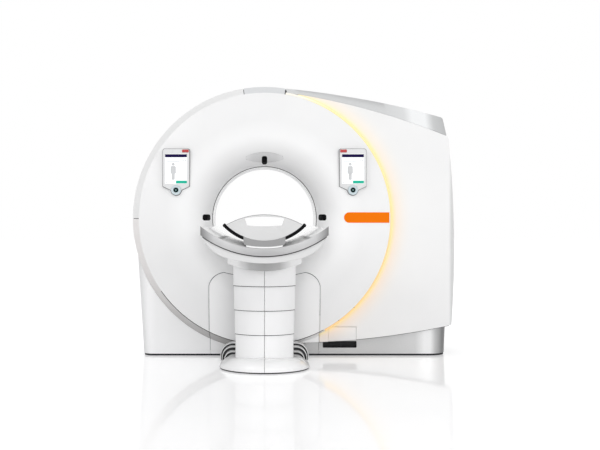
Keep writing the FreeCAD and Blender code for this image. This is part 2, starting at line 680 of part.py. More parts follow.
def upright_wall(name, edge_foot, edge_top, top, inner_end, corner):
    """A leaning side wall that turns a round corner into a front wall: a loft of two plans."""
    def plan(label, edge, height):
        """The wall's plan at one height; edge is the outer face's x, to the left or right."""
        side = -1 if size(edge) < 0 else 1
        sweep = "-" if side > 0 else ""
        back = "-" if side < 0 else ""
        body = new_body(f"{name}_{label}")
        outer_x, inner_x = edge, f"{edge} - ({side} * cover_wall)"
        loop = [(outer_x, "rear_reach - seat_gap"),
                (outer_x, f"-body_reach + {corner}", f"{sweep}{corner}"),
                (f"{edge} - ({side}) * {corner}", "-body_reach"),
                (inner_end, "-body_reach"), (inner_end, "-body_reach + cover_wall"),
                (f"{edge} - ({side}) * {corner}", "-body_reach + cover_wall",
                 f"{back}({corner} - cover_wall)"),
                (inner_x, f"-body_reach + {corner}"), (inner_x, "rear_reach - seat_gap")]
        return draw(body, "XY_Plane", height, [loop])

    loft = doc.addObject("Part::Loft", name + "_loft")
    loft.Sections = [plan("low", edge_foot, "floor_gap"), plan("high", edge_top, top)]
    loft.Solid = True
    loft.Ruled = True
    return loft


leg_top = "iso_height - collar_radius * sin(leg_angle)"
leg_top_x = "-collar_radius * cos(leg_angle)"
leg_wall = upright_wall("leg_wall", "-leg_foot_x", leg_top_x, leg_top, "-hatch_half - seam", "leg_corner")
leg_arc = turned("leg_arc", rectangle("-body_reach + 14", "collar_radius - cover_wall",
                                      "body_reach + rear_reach - seat_gap - 14", "cover_wall"),
                 "-90 - leg_angle - 0.3", "leg_angle + 0.25")
leg_clearance = rod("leg_clearance", "0", "-body_reach - 20", "iso_height", "collar_radius + 1", "32", "y")
leg_trim = rod("leg_trim", "0", "-body_reach + 11", "iso_height", "collar_radius - cover_wall - 2", "100",
               "y")
node("leg_cover", joined("leg_cover", cut("leg_front", leg_wall, leg_clearance, leg_trim), leg_arc))

# ---------------------------------------------------------------- wing cover and flap

wing_edge = "side_x + wing_lap"
wing_top = "iso_height + wing_rise"


def wing_loop(inset, edge_inset=None, tip_x="wing_tip_x", tip_rise="6"):
    """The wing cover's front view, from its blunt upper tip at tip_x.

    It is smaller by inset along the light ring and by edge_inset along its outer edges.
    """
    edge_inset = inset if edge_inset is None else edge_inset
    ring = f"wing_inner + {inset}"
    right = f"{wing_edge} - {edge_inset}"
    tip_z = f"iso_height + sqrt(({ring})^2 - {tip_x}^2)"
    return [
        (tip_x, f"{tip_z} + {tip_rise}"), (tip_x, tip_z, f"-{ring}"), (ring, "iso_height", f"-{ring}"),
        ("wing_toe_x", f"iso_height - sqrt(({ring})^2 - wing_toe_x^2)", "wing_keel"),
        (f"{right} - 16", f"wing_foot_z + {edge_inset}", 16),
        (right, f"wing_foot_z + 16 + {edge_inset}", "wing_bow"),
        (f"{right} - 24", f"{wing_top} - {edge_inset}", 20),
        (f"{right} - 44", f"{wing_top} + 6 - {edge_inset}", "wing_crest")]


wing_slab = slab("wing_slab", [wing_loop("0")], "-wing_reach + wing_chamfer",
                 "wing_reach - wing_chamfer - wing_return")
wing_rims = [draw(new_body(f"wing_rim_{count}"), "XZ_Plane", offset, [wing_loop("0", edge_inset)])
             for count, (offset, edge_inset) in enumerate((("wing_reach", "wing_chamfer"),
                                                           ("wing_reach - wing_chamfer", "0")))]
wing_face = doc.addObject("Part::Loft", "wing_face")
wing_face.Sections = wing_rims
wing_face.Solid = True
wing_face.Ruled = True
wing_outer = joined("wing_outer", wing_slab, wing_face)
wing_inner = slab("wing_inside", [wing_loop("cover_wall", "cover_wall", "330", "5.8")],
                  "-wing_reach + cover_wall", "wing_reach - wing_return")

flap_space = brick("flap_space", "flap_left - 1", "-wing_reach - 20", "0", "flap_width + 3", "32",
                   "flap_top + 1")
node("wing_cover", cut("wing_cover", wing_outer, wing_inner,
                       hatch_prism("hatch_space_wing", "seam"), flap_space))
flap_blank = brick("flap_blank", "flap_left", "-wing_reach", "0", "flap_width", "cover_wall", "flap_top")
flap_skin = common("flap_skin", slab("flap_outline", [wing_loop("0")], "-wing_reach", "cover_wall"),
                   flap_blank)
flap_right = "flap_left + flap_width"
pin_x, pin_y = f"{flap_right} - hinge_inset", "-wing_reach + hinge_inset"
flap_pin_hole = rod("flap_pin_hole", pin_x, pin_y, "hinge_foot - 2", "hinge_pin + 0.2",
                    "hinge_length + 4")
lug_places = ("hinge_foot", "hinge_foot + hinge_length - hinge_lug")
lug_slots = [brick(f"lug_slot_{count}", f"{flap_right} - 3 * hinge_inset", "-wing_reach - 5", f"{z} - 0.6",
                   "20", "30", "hinge_lug + 1.2") for count, z in enumerate(lug_places)]
node("service_flap", cut("service_flap", flap_skin, flap_pin_hole, *lug_slots))
flap_pin = rod("flap_pin", pin_x, pin_y, "hinge_foot", "hinge_pin", "hinge_length")
pin_lugs = []
for count, z in enumerate(lug_places):
    pin_lugs.append(brick(f"lug_finger_{count}", f"{flap_right} - 2 * hinge_inset", "-wing_reach + 0.5", z,
                          "2 * hinge_inset + 1.5", "14", "hinge_lug"))
    pin_lugs.append(brick(f"lug_back_{count}", flap_right, "-wing_reach + cover_wall + seat_gap", z,
                          "26", "8", "hinge_lug"))
node("flap_hinge_pin", joined("flap_hinge_pin", flap_pin, *pin_lugs))

# ---------------------------------------------------------------- silver covers


shoulder = ("side_x - shoulder_inset", "iso_height + shoulder_rise")


def band_section(label, reach, left_z, right_x, right_z, crest):
    """One section of the top band: an arched strip from its left end to its right end."""
    loop = [("band_start", left_z, f"-{crest}"), (right_x, right_z), (right_x, f"{right_z} + cover_wall", crest),
            ("band_start", f"{left_z} + cover_wall")]
    return draw(new_body(f"band_{label}"), "XZ_Plane", reach, [loop])


ring_top = "iso_height + sqrt(collar_radius^2 - band_start^2) - cover_wall"
wing_top_left = "iso_height + sqrt(wing_inner^2 - band_start^2)"
band_lip = doc.addObject("Part::Loft", "band_lip")
band_lip.Sections = [
    band_section("front", "wing_reach - 20", f"{wing_top_left} + 1.2", f"{wing_edge} - 44",
                 f"{wing_top} + 7.2", "wing_crest"),
    band_section("middle", "200", ring_top, shoulder[0], f"{shoulder[1]} - cover_wall", "band_crest"),
    band_section("rear", "-(rear_reach - seat_gap)", ring_top, shoulder[0], f"{shoulder[1]} - cover_wall",
                 "band_crest")]
band_lip.Solid = True
band_lip.Ruled = True

side_wall = slab("side_wall", [[
    (f"{shoulder[0]} - 8", f"{shoulder[1]} - cover_wall"), ("side_x - cover_wall", f"{wing_top} + 10"),
    ("side_x - cover_wall", "side_foot"), ("side_x", "side_foot"), ("side_x", f"{wing_top} + 10"),
    (f"{shoulder[0]} + 6", shoulder[1]), (f"{shoulder[0]} - 8", shoulder[1])]],
    "-200", "200 + rear_reach - seat_gap")
node("top_band_cover", joined("top_band_cover", band_lip, side_wall))

plinth_right = "side_x - plinth_inset"
plinth_wall = upright_wall("plinth_wall", f"{plinth_right} - 4", f"{plinth_right} + 8", "side_foot - seam",
                           "hatch_half + seam", "plinth_corner")
wing_room = slab("wing_room", [wing_loop("-0.6")], "-wing_reach - 10", "wing_reach + 10 - wing_return + 1")
recess_hole = slab("recess_hole", [rounded("recess_left", "recess_top - recess_height", "recess_width",
                                           "recess_height", "8")], "-body_reach - 10", "30")
node("plinth_cover", cut("plinth_cover", plinth_wall, recess_hole, wing_room))
pocket_outer = slab("pocket_outer", [rounded(
    "recess_left + 0.3", "recess_top - recess_height + 0.3", "recess_width - 0.6",
    "recess_height - 0.6", "7.7")], "-body_reach + 1", "recess_depth")
pocket_inner = slab("pocket_inner", [rounded(
    "recess_left + 3.3", "recess_top - recess_height + 3.3", "recess_width - 6.6",
    "recess_height - 6.6", "4.7")], "-body_reach", "recess_depth - 2")
node("recess_pocket", cut("recess_pocket", pocket_outer, pocket_inner))

# ---------------------------------------------------------------- rear cover

rear_outline = [
    ("-leg_foot_x", "floor_gap"), (f"{plinth_right} - 6", "floor_gap"), ("side_x - 2", "side_foot + 10"),
    ("side_x - 2", f"{wing_top} + 10"), (*shoulder, "band_crest"),
    ("band_start", "iso_height + sqrt(collar_radius^2 - band_start^2)", "collar_radius"),
    ("-collar_radius * sin(45)", "iso_height + collar_radius * cos(45)", "collar_radius"),
    ("-collar_radius", "iso_height", "collar_radius"), (leg_top_x, leg_top)]
rear_plate = slab("rear_plate", [rear_outline], "rear_reach", "cover_wall",
                  [("0", "iso_height", "mouth_radius + 70")])
rear_mouth = turned("rear_mouth", [
    (rear_throat, "bore_radius"), (f"rear_mouth_reach - {mouth_turn}", "bore_radius", mouth_turn),
    ("rear_mouth_reach", "mouth_radius"), ("rear_mouth_reach", "mouth_radius + 30"),
    ("rear_reach + cover_wall", "mouth_radius + 76"), ("rear_reach", "mouth_radius + 76"),
    ("rear_reach", "mouth_radius + 70"), ("rear_mouth_reach - cover_wall", "mouth_radius + 27"),
    ("rear_mouth_reach - cover_wall", "mouth_radius", f"-({mouth_turn} - cover_wall)"),
    (f"rear_mouth_reach - {mouth_turn}", "bore_radius + cover_wall"),
    (rear_throat, "bore_radius + cover_wall")])
node("rear_cover", joined("rear_cover", rear_plate, rear_mouth))

# ---------------------------------------------------------------- light ring and badge

node("light_ring", turned("light_ring", [
    (f"{return_end} + 2", "disc_radius + 3"), (f"{return_end} + 2", "disc_radius + 9"),
    ("-wing_reach - 4", "wing_inner - 0.5"), ("-wing_reach + 30", "wing_inner - 0.5"),
    ("-wing_reach + 30", "wing_inner - 6")], "cap_angle + 0.3", "142"))

badge_shell = turned("badge_shell", [
    ("-front_reach + disc_setback - badge_wall", "disc_radius", "dome_radius + badge_wall"),
    ("-front_reach - badge_wall", "mouth_radius"), ("-front_reach - badge_wall", "mouth_radius - 30"),
    ("-front_reach - 0.2", "mouth_radius - 30"), ("-front_reach - 0.2", "mouth_radius", "-dome_radius"),
    ("-front_reach + disc_setback - 0.2", "disc_radius")])
badge_z = "iso_height + badge_rise"
badge_prism = slab("badge_prism", [[
    ("badge_left + badge_half", f"{badge_z} - badge_half"), ("badge_right", f"{badge_z} - badge_half"),
    ("badge_right", f"{badge_z} + badge_half"),
    ("badge_left + badge_half", f"{badge_z} + badge_half", "badge_half"),
    ("badge_left", badge_z, "badge_half")]], "-front_reach - 20", "80")
node("badge_plate", common("badge_plate", badge_shell, badge_prism))

# ---------------------------------------------------------------- control panels

dial_z = "iso_height + dial_rise"
dome_solid = turned("dome_solid", [
    ("-front_reach + disc_setback - 0.3", "disc_radius", "dome_radius"),
    ("-front_reach - 0.3", "mouth_radius"), ("-front_reach - 0.3", "bore_radius"),
    ("-body_reach", "bore_radius"), ("-body_reach", "disc_radius")])


def control_panel(side, sign):
    """One control panel; sign is -1 for the left one and 1 for the right one."""
    middle, half = f"{sign} * panel_x", "panel_half"
    top, taper = "(iso_height + panel_rise)", "iso_height + panel_side"
    housing = slab(f"housing_{side}", [[
        (f"{middle} - {half}", taper), (f"{middle} - dial_radius", f"{dial_z} - 2"),
        (f"{middle} + dial_radius", f"{dial_z} - 2"), (f"{middle} + {half}", taper),
        (f"{middle} + {half}", f"{top} - panel_corner", "panel_corner"),
        (f"{middle} + {half} - panel_corner", top),
        (f"{middle} - {half} + panel_corner", top, "panel_corner"),
        (f"{middle} - {half}", f"{top} - panel_corner")]],
        "-panel_reach", "panel_reach - front_reach + disc_setback + 10")
    boss = rod(f"dial_boss_{side}", middle, "-panel_reach", dial_z, "dial_radius + 1",
               "panel_reach - front_reach + disc_setback", "y")
    stop_x, low = f"{middle} - {sign} * button_x", f"{top} - button_height - 5"
    pocket = slab(f"stop_pocket_{side}", [rounded(
        f"{stop_x} - button_half - button_gap", f"{low} - button_gap", "2 * button_half + 2 * button_gap",
        "button_height + 2 * button_gap", "5")], "-panel_reach - 5", "15")
    housing_cut = cut(f"housing_cut_{side}", joined(f"housing_blank_{side}", housing, boss), dome_solid,
                      pocket)
    node(f"stop_button_{side}", slab(f"stop_button_{side}", [rounded(
        f"{stop_x} - button_half", low, "2 * button_half", "button_height", "4.5")],
        "-panel_reach - button_travel - 1", "10"))
    node(f"dial_{side}", turned_dial(side, middle))
    screen = slab(f"screen_{side}", [rounded(
        f"{middle} - screen_half", "iso_height + screen_low", "2 * screen_half",
        "screen_rise - screen_low", "4")], "-panel_reach - screen_wall", "screen_wall")
    return housing_cut, screen


def turned_dial(side, middle):
    """The dial's knob with a chamfered rim and a dished face, turned about its own axis."""
    body = new_body(f"dial_{side}")
    face, dish = "-panel_reach - dial_depth", "-panel_reach - dial_depth + 3"
    sketch = draw(body, "YZ_Plane", "0", [[
        ("-panel_reach - seat_gap", "0"), ("-panel_reach - seat_gap", "dial_radius"),
        (dish, "dial_radius"), (face, "dial_radius - 3"),
        (face, "dial_radius / 2 + 2"), (dish, "dial_radius / 2"), (dish, "0")]])
    feature = body.newObject("PartDesign::Revolution", f"dial_turn_{side}")
    feature.Profile = sketch
    feature.ReferenceAxis = (sketch, ["H_Axis"])
    feature.Angle = 360.0
    bind(body, "Placement.Base.x", middle)
    bind(body, "Placement.Base.z", dial_z)
    return body


panels = [control_panel("left", -1), control_panel("right", 1)]
node("panel_housings", joined("panel_housings", *[housing for housing, _ in panels]))
node("panel_screens", joined("panel_screens", *[screen for _, screen in panels]))

# ---------------------------------------------------------------- table: column and mast


def column_loop(inset):
    """The column's plan, smaller by inset, with a bowed front."""
    half = f"column_half - ({inset})"
    front = f"-column_front + ({inset})"
    bow = f"column_bow - ({inset})"
    corner_y = f"{front} + {bow} - sqrt(({bow})^2 - ({half})^2)"
    rear = f"-column_rear - ({inset})"
    return [(f"-({half})", rear), (f"-({half})", corner_y, bow), ("0", front, bow),
            (half, corner_y), (half, rear)]


def tier(name, steps, foot, top):
    """One tier of the telescoping column, split down the middle."""
    inset = f"{steps} * tier_step"
    shell = block(name + "_shell", [column_loop(inset), column_loop(f"({inset} + tier_step - glide_gap)")],
                  foot, f"({top}) - ({foot})")
    split = brick(name + "_split", "-column_seam / 2", "-column_front - 20", f"{foot} - 10", "column_seam",
                  "column_front - column_rear + 60", f"({top}) - ({foot}) + 20")
    return node(name, cut(name, shell, split))


tier("column_tier_a", 0, "tier_a_foot", "mast_low + lift_travel - seat_gap")
tier("column_tier_b", 1, "tier_b_foot", "mast_low + lift_travel * 2 / 3 - 6")
tier("column_tier_c", 2, "tier_c_foot", "mast_low + lift_travel / 3 - 6")
tier("column_tier_d", 3, "base_top", "mast_low - 6")


def mast_stage(name, steps, foot, top):
    """One square tube of the telescoping mast."""
    half = f"(mast_half - {steps} * (mast_wall + mast_gap))"
    bore = f"({half} - mast_wall)"
    return node(name, block(name, [
        rectangle(f"-{half}", f"-mast_y - {half}", f"2 * {half}", f"2 * {half}"),
        rectangle(f"-{bore}", f"-mast_y - {bore}", f"2 * {bore}", f"2 * {bore}")],
        foot, f"({top}) - ({foot})"))


mast_stage("lift_stage_one", 0, "base_top", "mast_low")
for count, name in ((1, "lift_stage_two"), (2, "lift_stage_three")):
    mast_stage(name, count, f"mast_low + lift_travel * {count - 1} / 3 - mast_lap",
               f"mast_low + lift_travel * {count} / 3")

# ---------------------------------------------------------------- table: foot

base_holes = [(x, y, "anchor_radius") for x in ("-base_half + 35", "base_half - 35")
              for y in ("-1000", "-base_rear - 55")]
base_plate = block("base_plate", [[
    ("-base_half", "-base_rear"), ("-base_half", "-1010"), ("-120", "-1130"), ("120", "-1130"),
    ("base_half", "-1010"), ("base_half", "-base_rear")]], "0", "base_top", base_holes)
tongue = brick("tongue", "-tongue_half", "-base_rear - 10", "0", "2 * tongue_half",
               "base_rear + 10 - frame_front + beam / 2", "frame_foot")
toe_arms = brick("toe_arms", "-(toe_half - toe_wall - seat_gap)", "-870", "20",
                 "2 * (toe_half - toe_wall - seat_gap)", "30", "20")
foot_arms = [brick(f"foot_arms_{count}", f"-({reach})", y, "8", f"2 * ({reach})", "25", "18")
             for count, (reach, y) in enumerate((
                 ("foot_half - 2 * foot_step - foot_wall - seat_gap", "-708"),
                 ("foot_half - foot_step - foot_wall - seat_gap", "-600"),
                 ("foot_half - foot_wall - seat_gap", "-495")))]
node("table_base", joined("table_base", base_plate, tongue, toe_arms, *foot_arms))


def toe_loop(inset):
    """The toe cover's plan, smaller by inset."""
    half = f"(toe_half - {inset})"
    return [(f"-{half}", f"-toe_rear - {inset}"), (f"-{half}", "-toe_middle", half),
            ("0", f"-toe_middle - {half}", half), (half, "-toe_middle"),
            (half, f"-toe_rear - {inset}")]


toe_outer = block("toe_outer", [toe_loop("0")], "toe_foot", "toe_top - toe_foot")
doc.recompute()
toe_pad = toe_outer.Group[1]
toe_edges = [f"Edge{index}" for index, edge in enumerate(toe_pad.Shape.Edges, start=1)
             if edge.BoundBox.ZMin > size("toe_top") - 0.01 and edge.BoundBox.YMin < -size("toe_rear") - 1]
toe_fillet = toe_outer.newObject("PartDesign::Fillet", "toe_rounding")
toe_fillet.Base = (toe_pad, toe_edges)
bind(toe_fillet, "Radius", "toe_round")
toe_outer.Tip = toe_fillet
toe_inner = block("toe_inner", [toe_loop("toe_wall")], "0", "toe_top - 20")
toe_door = brick("toe_door", "-base_half - 5", "-toe_rear - toe_wall - 5", "0", "2 * base_half + 10",
                 "toe_wall + 10", "base_top + 8")
column_hole = block("column_hole", [column_loop("3 * tier_step - 1")], "-10", "500")
toe_split = brick("toe_split", "-column_seam / 2", "-toe_middle - toe_half - 10", "-10", "column_seam",
                  "toe_half + toe_middle - column_rear + 20", "300")
node("toe_cover", cut("toe_cover", toe_outer, toe_inner, toe_door, column_hole, toe_split))


def foot_loop(inset):
    """The front view of a foot cover, smaller by inset."""
    half, top, corner = f"(foot_half - {inset})", f"(foot_top - {inset})", f"(foot_corner - {inset})"
    return [(f"-{half}", "floor_gap"), (half, "floor_gap"), (half, f"{top} - {corner}", corner),
            (f"{half} - {corner}", top), (f"-{half} + {corner}", top, corner),
            (f"-{half}", f"{top} - {corner}")]


def foot_shell(name, inset, wall, start, length):
    """One arch of the foot, open inside and round the column."""
    outer = slab(name + "_outer", [foot_loop(inset)], start, length)
    inner = slab(name + "_inner", [foot_loop(f"({inset} + {wall})")], f"{start} - 5", f"{length} + 10")
    room = block(name + "_room", [column_loop("2 * tier_step - 3")], "-10", "500")
    return cut(name, outer, inner, room)


arches = [foot_shell(f"foot_arch_{count}", f"({count} * foot_step)", "foot_wall", start, length)
          for count, (start, length) in enumerate((("-520", "78"), ("-630", "84"), ("-736", "80")))]
seals = [foot_shell(f"foot_seal_{count}", f"({count} * foot_step + foot_wall - 1)",
                    "(foot_step - foot_wall + 2)", start, "26")
         for count, start in enumerate(("-546", "-656", "-762"))]
node("foot_covers", joined("foot_covers", *arches))
node("foot_seals", joined("foot_seals", *seals))

# ---------------------------------------------------------------- table: top

cradle_radius = "((cradle_half^2 + cradle_sag^2) / (2 * cradle_sag))"


def smile(half, centre_z, radius):
    """Height of a trough arc's ends, from its lowest point."""
    return f"{centre_z} + {radius} - sqrt(({radius})^2 - ({half})^2)"


trough_z = "(cradle_tip - cradle_sag)"
skin_half = "(cradle_half - 12)"
skin_low = f"({trough_z} - skin_wall)"
skin_low_radius = f"({cradle_radius} + skin_wall)"
saddle_body = slab("cradle_saddle", [[
    (f"-{skin_half}", smile(skin_half, trough_z, cradle_radius), cradle_radius),
    (skin_half, smile(skin_half, trough_z, cradle_radius)),
    (skin_half, smile(skin_half, skin_low, skin_low_radius), f"-{skin_low_radius}"),
    (f"-{skin_half}", smile(skin_half, skin_low, skin_low_radius))]],
    "-table_end + 10", "table_end - 10 - cradle_head")
node("cradle_saddle", saddle_body)

band_low = "(cradle_tip - cradle_sag - band_depth)"
band_low_radius = f"({cradle_radius} + 20)"
band_plate = slab("band_plate", [[
    ("-cradle_half", "cradle_tip", cradle_radius), ("cradle_half", "cradle_tip"),
    ("cradle_half", smile("cradle_half", band_low, band_low_radius), f"-{band_low_radius}"),
    ("-cradle_half", smile("cradle_half", band_low, band_low_radius))]], "-table_end", "10")
band_rails = []
for side in (-1, 1):
    x = "-cradle_half" if side < 0 else "cradle_half - 11.5"
    band_rails.append(brick(f"band_rail_{side + 1}", x, "-table_end + 5",
                            smile("cradle_half", band_low, band_low_radius), "11.5",
                            "table_end - cradle_head - 5", "34"))
node("cradle_band", joined("cradle_band", band_plate, *band_rails))

hull_low = "(cradle_tip - cradle_sag - hull_depth)"


def hull_loop(inset, shift="0"):
    """The hull's section, smaller by inset: flanks, two corners and a bowed keel."""
    half = f"(cradle_half - 13 - {inset})"
    shoulder = f"(cradle_half - 128 - {inset} / 2)"
    corner_z = f"({smile(shoulder, hull_low, 'hull_keel')} + {inset})"
    top_z = f"({smile(half, skin_low, skin_low_radius)} - 0.5 - {shift})"
    flank = "cradle_tip - 61"
    return [(f"-{half}", top_z), (f"-{half}", flank, "hull_bilge"),
            (f"-{shoulder}", corner_z, "hull_keel"), (shoulder, corner_z, "hull_bilge"),
            (half, flank), (half, top_z, f"-({skin_low_radius} + 0.5 + {shift})")]


hull_outer = slab("hull_outer", [hull_loop("0")], "-table_end + 10.5", "table_end - 10.5 - cradle_head")
hull_inner = slab("hull_inner", [hull_loop("hull_wall", "4")], "-table_end + 16",
                  "table_end - 22 - cradle_head")
pedestal_hole = brick("pedestal_hole", "-head_half - 2", "-mast_y - head_half - 2", f"{hull_low} - 90",
                      "2 * head_half + 4", "2 * head_half + 4", "150")
node("cradle_hull", cut("cradle_hull", hull_outer, hull_inner, pedestal_hole))

neck_low = "(cradle_tip - cradle_sag - neck_depth)"


def neck_loop(inset):
    """The neck's section, smaller by inset, under the hull."""
    half = f"(column_half + 34 - {inset})"
    low, high = f"{neck_low} + 52 + {inset}", f"{hull_low} + 46"
    return [(f"-{half}", high), (f"-{half}", low, "neck_keel"), (half, low), (half, high)]


neck_outer = slab("neck_outer", [neck_loop("0")], "-column_front - 70",
                  "column_front + 70 - column_rear + 30")
neck_inner = slab("neck_inner", [neck_loop("hull_wall")], "-column_front - 70 + hull_wall",
                  "column_front + 70 - 2 * hull_wall - column_rear + 30")
neck_hull_room = slab("neck_hull_room", [hull_loop("-0.5", "0")], "-table_end", "table_end - 100")
neck_room = block("neck_room", [column_loop("-glide_gap")], "0", "mast_low + lift_travel + 200")
node("neck_cover", cut("neck_cover", neck_outer, neck_inner, neck_hull_room, neck_room))

stage_half = "(mast_half - 3 * (mast_wall + mast_gap))"
stage_four = block("stage_four", [
    rectangle(f"-{stage_half}", f"-mast_y - {stage_half}", f"2 * {stage_half}", f"2 * {stage_half}")],
    "mast_low + lift_travel * 2 / 3 - mast_lap", "lift_travel / 3 + mast_lap")
head_foot = "mast_low + lift_travel"
head_plate = brick("head_plate", "-column_half", "-mast_y - head_half", head_foot, "2 * column_half",
                   "2 * head_half", "head_wall")
pedestal = brick("pedestal", "-head_half", "-mast_y - head_half", f"{head_foot} + head_wall",
                 "2 * head_half", "2 * head_half", f"{hull_low} + 40 - ({head_foot} + head_wall)")
top_beam = brick("top_beam", "-70", "-table_end + 60", f"{hull_low} + 12", "140",
                 "table_end - 60 - cradle_head - 40", f"{skin_low} - ({hull_low} + 12) - 5")
node("table_top_frame", joined("table_top_frame", stage_four, head_plate, pedestal, top_beam))

# ---------------------------------------------------------------- board

board_edge = f"({smile('board_half', 'board_foot', 'board_bow')})"
inner_bow = "(board_bow - board_wall)"
inner_foot = "(board_foot + board_wall)"
board_lip = "(board_half - board_wall * 0.9)"
board_body = slab("board_section", [[
    ("-board_half", board_edge, "board_bow"), ("board_half", board_edge),
    ("board_half - 3", f"{board_edge} + 6"), (board_lip, f"{board_edge} + 4"),
    (board_lip, smile(board_lip, inner_foot, inner_bow), f"-{inner_bow}"),
    (f"-{board_lip}", smile(board_lip, inner_foot, inner_bow)), (f"-{board_lip}", f"{board_edge} + 4"),
    ("-board_half + 3", f"{board_edge} + 6")]], "-table_end", "table_end - board_head")
board_beads = [rod(f"board_bead_{side}", f"{side} * (board_half - 8)", "-table_end", f"{board_edge} - 3",
                   "board_bead", "table_end - board_head", "y") for side in (-1, 1)]
node("board_shell", joined("board_shell", board_body, *board_beads))

cap_half = "(board_half - 18)"
cap_bow = f"({inner_bow} - slide_gap)"
cap_foot = f"({inner_foot} + slide_gap)"
cap_side = f"({smile(cap_half, cap_foot, cap_bow)})"
cap_top_radius = f"(({cap_half}^2 + cap_rise^2) / (2 * cap_rise))"
cap_body = slab("cap_blank", [[
    (f"-{cap_half}", cap_side, cap_bow), (cap_half, cap_side, cap_top_radius),
    ("0", f"{cap_side} + cap_rise", cap_top_radius)]], "-table_end - 6", "cap_wall + 6")
grip = slab("grip", [[
    ("-89", f"{cap_side} - 2", "900"), ("89", f"{cap_side} - 2"), ("101", f"{cap_side} + 31"),
    ("96", f"{cap_side} + 36", "700"), ("-96", f"{cap_side} + 36"), ("-101", f"{cap_side} + 31")]],
    "-table_end - 20", "80")
node("board_end_cap", cut("board_end_cap", cap_body, grip))

carriage_low = f"({trough_z} + slide_gap)"
carriage_radius = f"({cradle_radius} - slide_gap)"
carriage_bow = "(board_bow + 0.2)"
carriage_top = "(board_foot - 0.2)"


def carriage_loop(top, top_radius):
    """The carriage's section up to an arc under the board."""
    inner, corner = "(carriage_half - carriage_corner)", "carriage_corner"
    foot_z = smile(inner, carriage_low, carriage_radius)
    side_z = f"{foot_z} + carriage_corner + 2"
    top_z = smile("carriage_half", top, top_radius)
    return [(f"-{inner}", foot_z, carriage_radius), (inner, foot_z, corner), ("carriage_half", side_z),
            ("carriage_half", top_z, f"-{top_radius}"), ("-carriage_half", top_z),
            ("-carriage_half", side_z, corner)]


carriage_block = slab("carriage_block", [carriage_loop(carriage_top, carriage_bow)],
                      "-table_end - carriage_lip", "carriage_length")
carriage_face = slab("carriage_face", [carriage_loop(f"({inner_foot} - 0.2)", f"({inner_bow} + 0.2)")],
                     "-table_end - carriage_lip", "carriage_lip - 0.2")
node("board_carriage", joined("board_carriage", carriage_block, carriage_face))

roller = rod("roller_barrel", "-60", "-cradle_head - 40", "board_foot - slide_gap - 11", "11", "120", "x")
roller_feet = [brick(f"roller_foot_{count}", x, "-cradle_head - 47", f"{trough_z} + 5", "7", "14", "14")
               for count, x in enumerate(("-67", "60"))]
roller_seat = common("roller_seat", joined("roller_feet", *roller_feet), rod(
    "roller_seat_tool", "0", "-cradle_head - 60", f"{trough_z} + {cradle_radius}", cradle_radius, "40",
    "y"))
node("slide_roller", joined("slide_roller", roller, roller_seat))

# ---------------------------------------------------------------- checks and export

doc.recompute()

faults = [obj.Label for obj in doc.Objects if {"Invalid", "Error"} & set(obj.State)]
for name, obj in NODES.items():
    shape = obj.Shape
    if shape.isNull() or not shape.isValid() or not shape.Solids:
        faults.append(name)
if faults:
    sys.exit("not built: " + ", ".join(faults))

os.makedirs("parts", exist_ok=True)
for name, obj in NODES.items():
    obj.Shape.exportStep(f"parts/{name}.step")
print(f"{len(NODES)} pieces written")
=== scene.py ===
"""Finished look of a CT scanner: the gantry with its covers and panels, and the patient table.

Lengths are in metres. x runs to the right seen from the table, y along the bore to the rear and z
up from the floor. The scan plane is y = 0.
"""
from __future__ import annotations

import logging
import math
from dataclasses import dataclass
from enum import Enum
from typing import Sequence

import bmesh
import bpy
from mathutils import Matrix, Vector

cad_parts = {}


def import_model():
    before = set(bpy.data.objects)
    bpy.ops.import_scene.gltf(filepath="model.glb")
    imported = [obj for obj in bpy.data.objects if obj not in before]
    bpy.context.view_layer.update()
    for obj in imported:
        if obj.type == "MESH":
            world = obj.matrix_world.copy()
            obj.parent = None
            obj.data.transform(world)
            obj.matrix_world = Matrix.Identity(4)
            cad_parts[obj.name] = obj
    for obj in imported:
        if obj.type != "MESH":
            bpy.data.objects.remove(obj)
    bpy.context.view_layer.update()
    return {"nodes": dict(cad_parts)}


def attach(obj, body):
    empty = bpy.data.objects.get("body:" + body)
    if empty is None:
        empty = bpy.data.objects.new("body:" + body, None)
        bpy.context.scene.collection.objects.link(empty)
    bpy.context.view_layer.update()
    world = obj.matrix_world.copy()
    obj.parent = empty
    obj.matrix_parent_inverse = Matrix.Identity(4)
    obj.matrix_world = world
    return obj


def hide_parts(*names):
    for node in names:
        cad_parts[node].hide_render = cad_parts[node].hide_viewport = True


LOG = logging.getLogger("ct_scanner")
HAIR = 0.0006  # gap between a piece and what it stands on or in
SAME = 1e-6  # points closer than this are one
UPRIGHT = math.radians(90)

Colour = tuple[float, float, float]
Spot = tuple[float, float]
Bends = tuple[tuple[float, float], ...]
Path = Sequence[tuple[float, ...]]  # (u, v) ends a straight run, (u, v, radius, steps) an arc
Socket = bpy.types.NodeSocket


